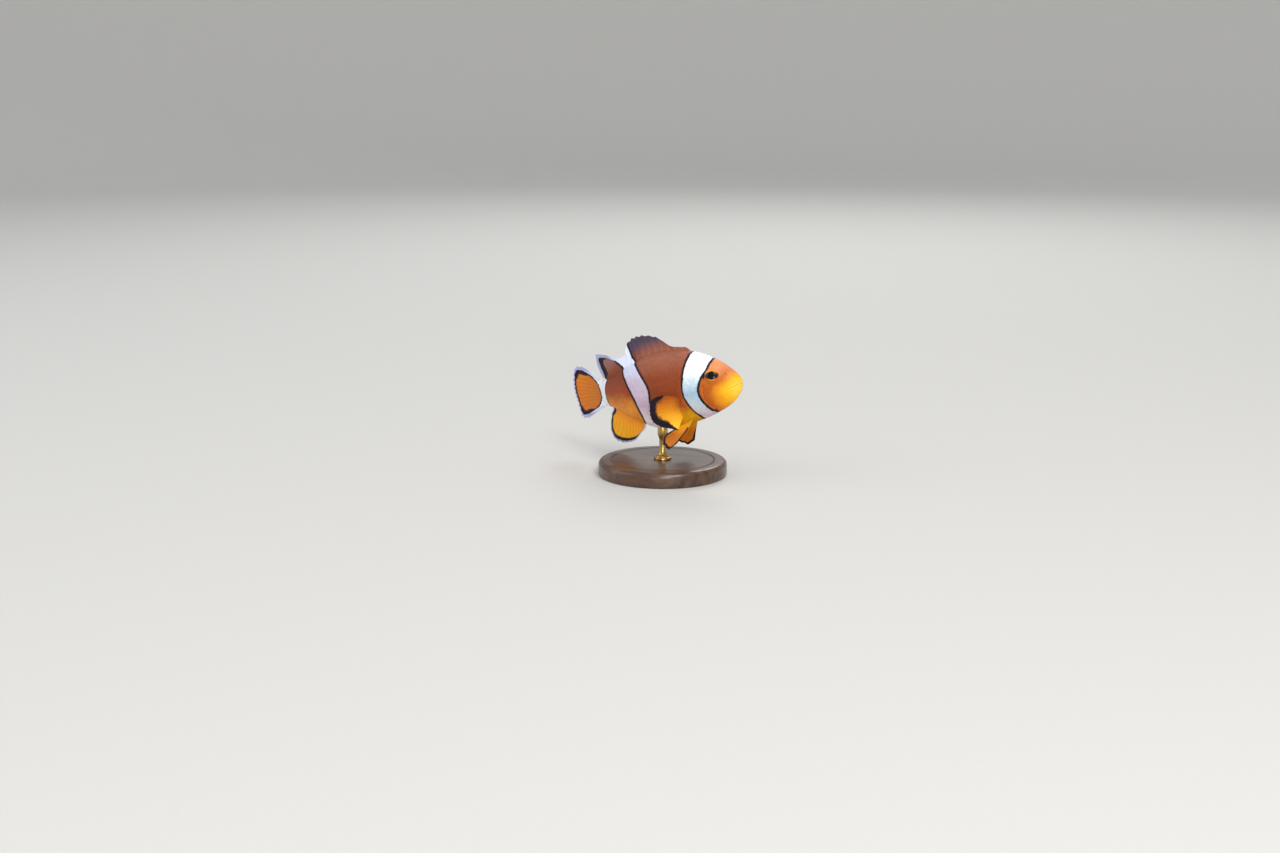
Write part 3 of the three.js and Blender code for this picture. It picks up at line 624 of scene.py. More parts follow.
def new_material(name):
    """A new material without nodes, and the function that adds a node to it."""
    material = bpy.data.materials.new(name)
    material.use_nodes = True
    tree = material.node_tree
    tree.nodes.clear()

    def add(kind, sockets=None, out=0, stops=(), **options):
        """Adds a node with its options, its sockets set to numbers, colours or other nodes' outputs.

        Gives back one output, or all of them where out is None.
        """
        made = tree.nodes.new("ShaderNode" + kind)
        for option, value in options.items():
            setattr(made, option, value)
        for socket, value in (sockets or {}).items():
            if isinstance(value, bpy.types.NodeSocket):
                tree.links.new(value, made.inputs[socket])
            elif made.inputs[socket].type == "RGBA":
                made.inputs[socket].default_value = (*value, 1.0)
            else:
                made.inputs[socket].default_value = value
        for k, (place, value) in enumerate(stops):
            elements = made.color_ramp.elements
            element = elements[k] if k < len(elements) else elements.new(place)
            element.position = place
            element.color = (*value, 1.0)
        return made.outputs if out is None else made.outputs[out]

    return material, add


def straight_place(add):
    """The place on the straight fish in millimetres: all of it, the distance behind the snout, the height."""
    where = add("Attribute", out="Vector", attribute_name="straight")
    place, _, height = add("SeparateXYZ", {0: where}, None)
    return where, place, height


def ground_colour(add, c, where, place, height):
    """The skin's ground colour by its place on the straight fish."""
    cloud = add("TexNoise", {"Vector": where, "Scale": 0.3, "Detail": 3.0})
    drift = add("MapRange", {0: cloud, 1: 0.3, 2: 0.7, 3: -0.7, 4: 0.7})
    level = add("Math", {0: height, 1: drift}, operation="ADD")
    # The face runs from brown against the first bar to yellow at the snout, sooner on its lower half, and has
    # a painted peach sheen on the brow where light from above falls.
    ahead = add("Attribute", out="Fac", attribute_name="ahead")
    # The higher up the face, the further forward the brown reaches: partly a painted shade round the eye.
    leaning = add("Math", {0: level, 1: -0.45, 2: ahead}, operation="MULTIPLY_ADD")
    run = add("MapRange", {0: leaning, 1: 0.7, 2: 12.7})
    # The snout tip's yellow is partly a painted highlight.
    stops = ((0.28, c.cheek), (0.46, c.face), (0.62, c.snout), (0.9, c.snout_tip_highlight))
    face = add("ValToRGB", {0: run}, stops=stops)
    brow_sheen = add("MapRange", {0: level, 1: 1.7, 2: 5.9, 4: 0.85}, **EASED)
    face = add("Mix", {0: brow_sheen, 6: face, 7: c.brow_sheen}, 2, **COLOUR)
    # Behind the head the flank darkens from the yellow belly up to its middle, and pales again at the back,
    # partly painted light from above.
    run = add("MapRange", {0: level, 1: -12.0, 2: 12.0})
    low = ((0.1, c.belly), (0.18, c.belly), (0.32, c.low_flank))
    high = ((0.48, c.flank), (0.68, c.shoulder), (0.9, c.back))
    trunk = add("ValToRGB", {0: run}, stops=low + high)
    run = add("MapRange", {0: level, 1: -9.0, 2: 9.0})
    stops = ((0.06, c.low_stalk), (0.26, c.low_stalk), (0.52, c.mid_stalk), (0.76, c.stalk))
    stalk = add("ValToRGB", {0: run}, stops=stops)
    behind = add("MapRange", {0: place, 1: 29.0, 2: 35.0}, **EASED)
    trunk = add("Mix", {0: behind, 6: trunk, 7: stalk}, 2, **COLOUR)
    past_head = add("MapRange", {0: place, 1: 11.8, 2: 14.0}, **EASED)
    return add("Mix", {0: past_head, 6: face, 7: trunk}, 2, **COLOUR)


def barred(add, c, ground, where, place, height):
    """The white bars with their dark margins over a ground colour."""
    bars = add("Attribute", out="Vector", attribute_name="bars")
    in_first, in_middle, in_last = add("SeparateXYZ", {0: bars}, None)
    deep = add("Math", {0: in_first, 1: in_middle}, operation="MAXIMUM")
    deep = add("Math", {0: deep, 1: in_last}, operation="MAXIMUM")
    ragged = add("TexNoise", {"Vector": where, "Scale": 1.3, "Detail": 2.0})
    ragged = add("MapRange", {0: ragged, 1: 0.3, 2: 0.7, 3: -0.09, 4: 0.09})
    deep = add("Math", {0: deep, 1: ragged}, operation="ADD")
    white = add("MapRange", {0: deep, 1: -0.12, 2: 0.22}, **EASED)
    dark = add("MapRange", {0: deep, 1: -1.7, 2: -0.6}, **EASED)
    # Each bar takes its own colours: the first two by height, white at the top where light from above falls,
    # in painted shade lower down and pinker at the foot in painted bounce light, and the last is even.
    level = add("MapRange", {0: height, 1: -10.0, 2: 8.0})
    stops = ((0.0, c.bar_low_bounce), (0.3, c.bar_under_shade), (0.5, c.bar_middle_shade), (0.85, c.bar))
    first = add("ValToRGB", {0: level}, stops=stops)
    stops = ((0.06, c.mid_bar_foot_bounce), (0.35, c.mid_bar_low_bounce), (0.75, c.mid_bar_middle_shade), (1.0, c.mid_bar))
    second = add("ValToRGB", {0: level}, stops=stops)
    later = add("MapRange", {0: place, 1: 20.0, 2: 24.0})
    pale = add("Mix", {0: later, 6: first, 7: second}, 2, **COLOUR)
    last = add("MapRange", {0: place, 1: 43.0, 2: 46.0})
    pale = add("Mix", {0: last, 6: pale, 7: c.tail_bar}, 2, **COLOUR)
    tint = add("Mix", {0: dark, 6: ground, 7: c.margin}, 2, **COLOUR)
    return add("Mix", {0: white, 6: tint, 7: pale}, 2, **COLOUR)


def flesh_shader(add, tint, bump, roughness=0.45, glow=0.1):
    """Ends a material of flesh: a little light passes inside it, and a thin wet-looking film lies over it."""
    sockets = {
        "Base Color": tint,
        "Normal": bump,
        "Roughness": roughness,
        "IOR": 1.4,
        "Specular IOR Level": 0.22,
        "Subsurface Weight": glow,
        "Subsurface Radius": (1.0, 0.45, 0.2),
        "Subsurface Scale": 0.0005,
        "Coat Weight": 0.06,
        "Coat Roughness": 0.22,
    }
    add("OutputMaterial", {"Surface": add("BsdfPrincipled", sockets)}, None)


def skin_material(c):
    """Bare fish skin: smooth and slightly slimy, with fine pores that soften its shine."""
    material, add = new_material("fish_skin")
    where, place, height = straight_place(add)
    tint = barred(add, c, ground_colour(add, c, where, place, height), where, place, height)
    pores = add("TexNoise", {"Vector": where, "Scale": 6.0, "Detail": 3.0})
    mottle = add("MapRange", {0: pores, 1: 0.3, 2: 0.7, 3: 0.93, 4: 1.07})
    tint = add("HueSaturation", {"Color": tint, "Value": mottle})
    bump = add("Bump", {"Height": pores, "Strength": 0.25, "Distance": 0.00004})
    flesh_shader(add, tint, bump)
    return material


def scale_material(c):
    """Fish scales: thin horn plates under a clear film, each a shade lighter or darker than the next."""
    material, add = new_material("fish_scales")
    where, place, height = straight_place(add)
    tint = barred(add, c, ground_colour(add, c, where, place, height), where, place, height)
    shade = add("Attribute", out="Fac", attribute_name="shade")
    plate = add("Attribute", out="Vector", attribute_name="plate")
    along, across, _ = add("SeparateXYZ", {0: plate}, None)
    edge = add("MapRange", {0: along, 1: 0.2, 2: 0.5, 3: 0.0, 4: -0.06})
    value = add("MapRange", {0: shade, 3: 0.94, 4: 1.07})
    value = add("Math", {0: value, 1: edge}, operation="ADD")
    tint = add("HueSaturation", {"Color": tint, "Value": value})
    # Growth ridges run along a scale, about eleven across its width.
    ridges = add("Math", {0: across, 1: 70.0}, operation="MULTIPLY")
    ridges = add("Math", {0: ridges}, operation="SINE")
    bump = add("Bump", {"Height": ridges, "Strength": 0.25, "Distance": 0.00001})
    flesh_shader(add, tint, bump)
    return material


def fin_material(name, c, web, far=6.0, low=None, band=False, rim=False, has_bars=False):
    """A fin: clear skin over horny rays.

    It has the body's colour at its root and web's from far on, and low's at the foot of a fin that runs
    down, with a dark band inside a pale rim where it has them.
    """
    material, add = new_material(name)
    where, place, height = straight_place(add)
    run = add("Attribute", out="Vector", attribute_name="run")
    from_root, _, crest = add("SeparateXYZ", {0: run}, None)
    if low:
        down = add("MapRange", {0: height, 1: 0.0, 2: -9.5})
        web = add("ValToRGB", {0: down}, stops=((0.12, c.low_flank), (0.45, web), (0.95, low)))
    spread = add("MapRange", {0: from_root, 1: 0.8, 2: far}, **EASED)
    root = ground_colour(add, c, where, place, height)
    tint = add("Mix", {0: spread, 6: root, 7: web}, 2, **COLOUR)
    # The rays are paler than the skin between them, and the root is painted darker than the rest, a painted
    # shade where the fin meets the body.
    ray = add("MapRange", {0: crest, 3: 0.92, 4: 1.1})
    root_shade = add("MapRange", {0: from_root, 1: 0.8, 2: 3.2, 3: 0.84, 4: 1.0})
    value = add("Math", {0: ray, 1: root_shade}, operation="MULTIPLY")
    tint = add("HueSaturation", {"Color": tint, "Value": value})
    margin = add("Attribute", out="Vector", attribute_name="margin")
    in_rim, in_band, outer = add("SeparateXYZ", {0: margin}, None)
    if band:
        ragged = add("TexNoise", {"Vector": where, "Scale": 0.9, "Detail": 2.0})
        ragged = add("MapRange", {0: ragged, 1: 0.3, 2: 0.7, 3: -0.1, 4: 0.1})
        deep = add("Math", {0: in_band, 1: ragged}, operation="ADD")
        dark = add("MapRange", {0: deep, 1: 1.25, 2: 0.75}, **EASED)
        tint = add("Mix", {0: dark, 6: tint, 7: c.margin}, 2, **COLOUR)
    if has_bars:
        tint = barred(add, c, tint, where, place, height)
    if rim:
        light = add("MapRange", {0: in_rim, 1: 1.1, 2: 0.8}, **EASED)
        pale = add("Mix", {0: outer, 6: c.mid_bar, 7: c.rim}, 2, **COLOUR)
        tint = add("Mix", {0: light, 6: tint, 7: pale}, 2, **COLOUR)
    # Soft rays are jointed about every quarter of a millimetre.
    joints = add("TexWave", {"Vector": run, "Scale": 1.3, "Distortion": 0.6}, 1)
    joints = add("Math", {0: joints, 1: crest}, operation="MULTIPLY")
    bump = add("Bump", {"Height": joints, "Strength": 0.3, "Distance": 0.00003})
    flesh_shader(add, tint, bump, roughness=0.5, glow=0.25)
    return material


def eye_material(c, pupil):
    """The eye: a black pupil in an orange iris, under a hard clear cornea that mirrors the lamps."""
    material, add = new_material("eye_cornea")
    gaze = add("Attribute", out="Vector", attribute_name="gaze")
    ahead, up, _ = add("SeparateXYZ", {0: gaze}, None)
    away = add("VectorMath", {0: gaze}, 1, operation="LENGTH")
    above = add("MapRange", {0: up, 1: -1.0, 2: 1.6}, **EASED)
    tint = add("Mix", {0: above, 6: c.iris, 7: c.iris_top}, 2, **COLOUR)
    flecks = add("TexNoise", {"Vector": gaze, "Scale": 5.0, "Detail": 4.0})
    fleck = add("MapRange", {0: flecks, 1: 0.35, 2: 0.65, 3: 0.85, 4: 1.12})
    tint = add("HueSaturation", {"Color": tint, "Value": fleck})
    ring = add("MapRange", {0: away, 1: pupil + 0.17, 2: pupil + 0.08})
    tint = add("Mix", {0: ring, 6: tint, 7: c.snout}, 2, **COLOUR)
    # A dark streak, an oval broader than the pupil and less high, runs level across the whole iris.
    wide = add("Math", {0: ahead, 1: 2.05}, operation="DIVIDE")
    tall = add("Math", {0: up, 1: 1.12}, operation="DIVIDE")
    oval = add("CombineXYZ", {0: wide, 1: tall})
    oval = add("VectorMath", {0: oval}, 1, operation="LENGTH")
    streak = add("MapRange", {0: oval, 1: 1.1, 2: 0.86, 4: 0.96}, **EASED)
    tint = add("Mix", {0: streak, 6: tint, 7: c.streak}, 2, **COLOUR)
    hole = add("MapRange", {0: away, 1: pupil + 0.05, 2: pupil - 0.03})
    tint = add("Mix", {0: hole, 6: tint, 7: c.pupil}, 2, **COLOUR)
    sockets = {"Base Color": tint, "Roughness": 0.35, "IOR": 1.38, "Specular IOR Level": 0.1}
    shader = add("BsdfPrincipled", {**sockets, "Coat Weight": 0.4, "Coat Roughness": 0.03})
    add("OutputMaterial", {"Surface": shader}, None)
    return material


def wood_material(stand):
    """Walnut: straight grain with dark pores, under a satin lacquer that softens the lamps' reflections."""
    material, add = new_material("lacquered_walnut")
    place = add("TexCoord", out="Object")
    # Year rings of about 2 mm, drawn out along the plank, and pores of a tenth of that.
    planks = add("Mapping", {"Vector": place, "Scale": (60.0, 500.0, 300.0)})
    rings = add("TexNoise", {"Vector": planks, "Scale": 1.0, "Detail": 5.0, "Distortion": 0.6})
    fine = add("Mapping", {"Vector": place, "Scale": (400.0, 6000.0, 3000.0)})
    pores = add("TexNoise", {"Vector": fine, "Scale": 1.0, "Detail": 2.0})
    late = add("MapRange", {0: rings, 1: 0.35, 2: 0.68})
    tint = add("Mix", {0: late, 6: stand.wood, 7: stand.wood_dark}, 2, **COLOUR)
    speck = add("MapRange", {0: pores, 1: 0.58, 2: 0.7, 4: 0.7})
    tint = add("Mix", {0: speck, 6: tint, 7: stand.wood_dark}, 2, **COLOUR)
    bump = add("Bump", {"Height": pores, "Strength": 0.15, "Distance": 0.00004})
    lacquer = {"Coat Weight": 0.5, "Coat Roughness": 0.18}
    shader = add("BsdfPrincipled", {"Base Color": tint, "Normal": bump, "Roughness": 0.45, **lacquer})
    add("OutputMaterial", {"Surface": shader}, None)
    return material


def metal_material(stand):
    """Turned brass: warm metal with the fine rings that the lathe leaves round it."""
    material, add = new_material("turned_brass")
    place = add("TexCoord", out="Object")
    _, _, height = add("SeparateXYZ", {0: place}, None)
    # Tool marks every 0.12 mm up the rod, coarser than real ones so that they show.
    rings = add("Math", {0: height, 1: 52000.0}, operation="MULTIPLY")
    rings = add("Math", {0: rings}, operation="SINE")
    tarnish = add("TexNoise", {"Vector": place, "Scale": 700.0, "Detail": 3.0})
    dull = add("MapRange", {0: tarnish, 1: 0.3, 2: 0.7, 3: 0.24, 4: 0.36})
    value = add("MapRange", {0: tarnish, 1: 0.3, 2: 0.7, 3: 1.0, 4: 0.88})
    tint = add("HueSaturation", {"Color": stand.metal, "Value": value})
    bump = add("Bump", {"Height": rings, "Strength": 0.2, "Distance": 0.00001})
    sockets = {"Base Color": tint, "Normal": bump, "Metallic": 1.0, "Roughness": dull}
    add("OutputMaterial", {"Surface": add("BsdfPrincipled", sockets)}, None)
    return material


def paper_material(stand):
    """Matt backdrop paper, whose faint tooth keeps it from looking empty."""
    material, add = new_material("matt_paper")
    place = add("TexCoord", out="Object")
    tooth = add("TexNoise", {"Vector": place, "Scale": 900.0, "Detail": 2.0})
    value = add("MapRange", {0: tooth, 3: 0.985, 4: 1.015})
    tint = add("HueSaturation", {"Color": stand.floor, "Value": value})
    shader = add("BsdfPrincipled", {"Base Color": tint, "Roughness": 0.9})
    add("OutputMaterial", {"Surface": shader}, None)
    return material


# ---------------------------------------------------------------- skin and scales

STATION = 0.03  # step of q along the skin, which is 0.1 mm on the face and 0.4 mm at the tail
AROUND = 280


def build_skin(fish, material):
    """One skin from the snout to the root of the tail fin."""
    last = math.sqrt(fish.long + SCALED_ROOT)
    stations = np.linspace(STATION, last, int(last / STATION))
    angles = 2 * math.pi * np.arange(AROUND) / AROUND + math.pi / 2  # from the ridge of the back
    q, angle = ring_points([0.0, *stations, last], angles)
    plain = fish.body(q, angle)
    plain[-1] = plain[-1 - AROUND : -1].mean(axis=0)
    normal = fish.outward(q, angle)
    normal[0] = (1.0, 0.0, 0.0)
    normal[-1] = (-1.0, 0.0, 0.0)
    shaped = plain + normal * relief(fish, plain)[:, None]
    piece = new_piece("fish_skin", fish.placed(shaped), ring_faces(len(stations), AROUND), material)
    mark(fish, piece, shaped)
    give_unwrap(piece, fish.unwrap(q, angle), seam=True)
    return piece


FLANK_STEP = 0.25
FLANK_ANGLES = np.linspace(-math.pi / 2 - 0.5, math.pi / 2 + 0.5, 241)  # on past both ridges
ARC_STEP = 0.1
ARC_REACH = 24.0


class Flank:
    """Reads the angle round the body from the distance up or down its side from the middle line."""

    def __init__(self, fish):
        self.places = np.arange(0.0, fish.long + SCALED_ROOT + FLANK_STEP, FLANK_STEP)
        self.arcs = np.arange(-ARC_REACH, ARC_REACH + ARC_STEP / 2, ARC_STEP)
        top, bottom, half = fish.section(self.places)
        rise = (top - bottom) / 2
        pace = np.hypot(half[:, None] * np.sin(FLANK_ANGLES), rise[:, None] * np.cos(FLANK_ANGLES))
        steps = (pace[:, 1:] + pace[:, :-1]) / 2 * (FLANK_ANGLES[1] - FLANK_ANGLES[0])
        run = np.concatenate([np.zeros((len(top), 1)), np.cumsum(steps, axis=1)], axis=1)
        run = run - run[:, [len(FLANK_ANGLES) // 2]]
        self.table = np.stack([np.interp(self.arcs, r, FLANK_ANGLES) for r in run])
        self.up = [np.interp(math.pi / 2, FLANK_ANGLES, r) for r in run]
        self.down = [np.interp(-math.pi / 2, FLANK_ANGLES, r) for r in run]

    def angle(self, back, arc, side=LEFT):
        """The angle at a distance behind the snout and a distance up one side."""
        i = np.clip(back / FLANK_STEP, 0, len(self.places) - 1.001)
        j = np.clip((arc + ARC_REACH) / ARC_STEP, 0, len(self.arcs) - 1.001)
        i0, j0 = i.astype(int), j.astype(int)
        a, b = i - i0, j - j0
        here = self.table[i0, j0] * (1 - b) + self.table[i0, j0 + 1] * b
        behind = self.table[i0 + 1, j0] * (1 - b) + self.table[i0 + 1, j0 + 1] * b
        angle = here * (1 - a) + behind * a
        return angle if side == LEFT else math.pi - angle

    def within(self, back, arc, inset=0.05):
        """Whether a place lies between the ridges of the back and the belly, clear of both."""
        up = np.interp(back, self.places, self.up)
        down = np.interp(back, self.places, self.down)
        return (arc < up - inset) & (arc > down + inset)


UNEVEN = 0.035  # how far a scale strays, as a share of the spacing


def lattice(rng, pitch, row, start, stop, reach):
    """Roots of scales in rows, each row half a step on from the last, with the unevenness of real ones."""
    found = []
    for k in range(-int(reach / row), int(reach / row) + 1):
        back = np.arange(start + (k % 2) * pitch / 2, stop, pitch)
        found.append(np.stack([back, np.full(len(back), k * row)], axis=-1))
    at = np.concatenate(found)
    return at + rng.normal(0, UNEVEN, at.shape) * (pitch, row)


# Gaps in the coat, from the middle of a scale to what it has to clear.
TRUNK_TO_GILL = 0.52
FACE_TO_GILL = 0.36
FACE_TO_CHEEK_EDGE = 0.5
FACE_TO_EYE = 3.1  # to the eye's middle
FACE_FRONT = 8.3  # how far behind the snout the coat starts
# The small scales of the face reach back to these places: above a height, below another, and between.
NAPE = (13.6, 5.0)
THROAT = (11.5, -6.0)
FACE_END = 11.0
FACE_ROW = 1.25  # their spacing across the rows, as a share of that along a row


def scale_roots(fish, flank, rng):
    """Where the scales of a side are rooted, each with the spacing along its row and across the rows."""
    sizes = fish.sizes
    pitch, row, face_pitch = sizes.scale / MM, sizes.scale_row / MM, sizes.face_scale / MM
    face_row = face_pitch * FACE_ROW
    trunk = lattice(rng, pitch, row, start=FACE_END, stop=fish.long + 1.9, reach=16.0)
    face = lattice(rng, face_pitch, face_row, start=7.2, stop=17.0, reach=13.0)

    def read(at):
        """The skin's points at some roots, how deep they lie in the gill cover, and which are on the face."""
        back, arc = at.T
        points = fish.body(np.sqrt(back), flank.angle(back, arc))
        height = points[:, 2]
        deep = depth_in(np.stack([back, height], -1), fish.gill)
        nape = (back < NAPE[0]) & (height > NAPE[1])
        throat = (back < THROAT[0]) & (height < THROAT[1])
        return points, deep, (deep > 0) | nape | throat | (back < FACE_END)

    _, deep, faced = read(trunk)
    trunk = trunk[flank.within(*trunk.T) & ~faced & (deep < -TRUNK_TO_GILL)]
    points, deep, faced = read(face)
    back, height = face[:, 0], points[:, 2]
    keep = flank.within(*face.T) & faced & (np.abs(deep) > FACE_TO_GILL)
    keep &= distance_to(np.stack([back, height], -1), CHEEK_EDGE) > FACE_TO_CHEEK_EDGE
    keep &= np.linalg.norm(points - fish.spot(*EYE, LEFT)[0], axis=1) > FACE_TO_EYE
    keep &= back > FACE_FRONT + 0.5 * np.sin(height * 1.7)  # the coat's front edge is uneven
    face = face[keep]
    spacing = np.repeat([(pitch, row), (face_pitch, face_row)], [len(trunk), len(face)], axis=0)
    return np.concatenate([trunk, face]), spacing


# One scale seen from above: rings of (share of the radius, how proud its upper face is).
SCALE_RINGS = ((0.42, 1.0), (0.82, 0.85), (1.0, 0.25))
SCALE_UNDER = -0.4  # how proud the middle of its underside is
SCALE_CORNERS = 14
SCALE_SQUARE = 2.5  # power of its outline's curve, where 2 would make it round
SCALE_THICK = 0.035
SCALE_LONG = 1.05  # half its length, as a share of the spacing along its row
SCALE_WIDE = 0.80  # half its width, as a share of the spacing across the rows
SCALE_SHORTER = 0.25  # share of its length that it loses at the root of the tail fin
SCALE_ROOT = 0.8  # how far ahead of its middle it is rooted, as a share of half its length
SCALE_LIFT = (0.03, 0.055, 0.035)  # its middle's, how much more its rear edge has, and its sides less
FACE_LIFT = 0.35  # share of that lift that the first scales on the face have
FACE_SINK = 0.012  # and how far they lie in the skin
SCALE_SEEDS = {RIGHT: 11, LEFT: 12}
TUBE = (0.05, 0.28)  # height and width of a tube of the lateral line
TUBE_REACH = 0.4  # how near the line a scale has to be to carry one
BAKE_PATCH = 0.0015  # half the size of a scale on the unwrap


def scale_form():
    """Corners of one scale: their places along and across it, and how proud they are."""
    turns = 2 * math.pi * np.arange(SCALE_CORNERS) / SCALE_CORNERS
    rim = np.stack([np.cos(turns), np.sin(turns)], -1)
    rim /= (np.abs(rim) ** SCALE_SQUARE).sum(axis=1, keepdims=True) ** (1 / SCALE_SQUARE)
    corners = [(0.0, 0.0, 1.0)]
    for share, proud in SCALE_RINGS:
        corners += [(share * along, share * across, proud) for along, across in rim]
    return np.array([*corners, (0.0, 0.0, SCALE_UNDER)]).T


def build_scales(fish, flank, side, name, material):
    """The coat of one side: thin plates in rows, each rooted in the skin and lifted at its rear edge."""
    rng = np.random.default_rng(SCALE_SEEDS[side])
    at, spacing = scale_roots(fish, flank, rng)
    u, w, proud = scale_form()
    count, corners = len(at), len(u)
    place, arc = at.T
    long = spacing[:, 0] * SCALE_LONG * (1 - SCALE_SHORTER * smooth(40.0, 50.0, place))
    wide = spacing[:, 1] * SCALE_WIDE
    back = place[:, None] + long[:, None] * u
    angle = flank.angle(back, arc[:, None] + wide[:, None] * w, side).ravel()
    q = np.sqrt(np.clip(back, 0, fish.long + SCALED_ROOT)).ravel()
    base = fish.body(q, angle)

    middle, rear, sides = SCALE_LIFT
    lift = middle + rear * u - sides * w**2 + SCALE_THICK * (proud - 0.5)
    formed = smooth(7.8, 11.0, place)  # scales grow out of the bare face by degrees
    strength = (FACE_LIFT + (1 - FACE_LIFT) * formed) * np.sqrt(spacing[:, 0] / (fish.sizes.scale / MM))
    lift = strength[:, None] * lift - FACE_SINK * (1 - formed[:, None])
    # Those on the lateral line carry its tubes.
    height = fish.body(np.sqrt(place), flank.angle(place, arc))[:, 2]
    on_line = np.abs(height - LATERAL_LINE(place)[:, 0]) < TUBE_REACH
    on_line &= (place > LATERAL_LINE_ENDS[0]) & (place < LATERAL_LINE_ENDS[1])
    rise, width = TUBE
    lift += on_line[:, None] * (rise * hump(w, width) * (proud > 0.5) * (u < 0.75))
    shaped = base + fish.outward(q, angle) * (relief(fish, base) + lift.ravel())[:, None]

    starts = corners * np.arange(count)[:, None, None]
    parts = ring_faces(len(SCALE_RINGS), SCALE_CORNERS)
    faces = [(part + starts).reshape(-1, part.shape[1]) for part in parts]
    piece = new_piece(name, fish.placed(shaped), faces, material)
    mark(fish, piece, shaped)
    give(piece, "shade", np.repeat(rng.random(count), corners))
    give(piece, "plate", np.tile(np.stack([u / 2, w / 2, 0 * u], -1), (count, 1)))
    root = place - SCALE_ROOT * long
    root = fish.unwrap(np.sqrt(root), flank.angle(root, arc, side))
    patch = BAKE_PATCH * np.stack([u, w], -1)
    give_unwrap(piece, (root[:, None, :] + patch).reshape(-1, 2))
    return piece


# ---------------------------------------------------------------- fins

# Edges of the middle fins: share of the way along the fin, then distance behind the snout and height.
SPINY_EDGE = through((
    (0, 16.2, 11.9), (0.2, 20.6, 12.7), (0.3, 22.9, 14.3), (0.42, 25.6, 16.0), (0.6, 29.6, 16.8),
    (0.8, 33.6, 16.2), (0.9, 35.4, 15.0), (0.95, 36.2, 13.9), (1, 36.6, 12.2),
))
SOFT_EDGE = through((
    (0, 36.9, 11.7), (0.1, 38.9, 10.7), (0.3, 42.4, 11.0), (0.5, 46.6, 11.7), (0.74, 52.3, 12.0),
    (0.82, 52.0, 9.8), (0.9, 50.9, 7.4), (1, 49.4, 4.9),
))
ANAL_EDGE = through((
    (0, 34.4, -11.8), (0.3, 38.4, -14.4), (0.55, 43.6, -15.2), (0.72, 47.9, -14.0), (0.86, 49.4, -10.6),
    (1, 47.9, -6.0),
))
# Edge of the tail fin: its distances are shares of the fin's length, and its heights of half its spread.
TAIL_EDGE = through((
    (0, 0.73, 0.985), (0.07, 0.87, 1), (0.14, 0.945, 0.9), (0.27, 0.985, 0.55), (0.5, 1, 0),
    (0.73, 0.985, -0.55), (0.86, 0.945, -0.9), (0.93, 0.87, -1), (1, 0.73, -0.985),
))
TAIL_SPREAD = 8.1  # half the spread
# Lengths of the rays of a paired fin, from its first to its last, as shares of the longest.
PECTORAL_RAYS = through(
    ((0, 0.68), (0.05, 0.84), (0.12, 0.97), (0.28, 1.0), (0.42, 0.97), (0.6, 0.81), (0.8, 0.6), (1, 0.46))
)
PELVIC_RAYS = through(((0, 0.8), (0.2, 1.0), (0.6, 0.92), (1, 0.62)))
PECTORAL_TOP = (17.4, -2.4)
PECTORAL_FOOT = (18.0, -7.1)
PECTORAL_OUT = math.radians(50)  # how far it stands off the flank
PECTORAL_DROOP = 0.3  # and how steeply it points down
PELVIC_AIM = (-0.74, 0.28, -0.66)  # direction of the left one's middle
FAN_WAVE = (1.6, 0.6)  # count and phase of the wave along the edge of a paired fin
PELVIC_ENDS = ((16.6, 2.0), (19.4, 1.5))  # distance behind the snout, and from the fish's middle plane
PELVIC_ROOT = 0.9  # how deep a pelvic fin starts inside the belly
FIN_ROOT = 0.6  # how deep a middle fin starts under the skin
SPINY_ROOT = (15.0, 36.6)  # where each middle fin's root starts and ends behind the snout
SOFT_ROOT = (36.6, 46.8)
ANAL_ROOT = (33.4, 45.8)
TAIL_ROOT = (0.8, 0.2)  # how deep it starts in the stalk, and how far inside the stalk's back and belly
ROWS = 56  # of points, from a fin's root to its edge


def ray_crest(u, v, rays, soft):
    """1 on the middle of a ray and 0 on the skin between. Soft rays fork twice towards the edge."""
    place = u * (rays - 1)
    off = place - np.round(place)
    if not soft:
        return hump(off, 0.15 - 0.07 * v)
    fork = 0.15 * smooth(0.28, 0.62, v)
    twig = 0.075 * smooth(0.62, 0.92, v)
    width = 0.13 - 0.05 * smooth(0.25, 0.6, v) - 0.03 * smooth(0.6, 0.9, v)
    tips = [off + a * fork + b * twig for a in (-1, 1) for b in (-1, 1)]
    return np.minimum(1.0, np.max([hump(t, width) for t in tips], axis=0))


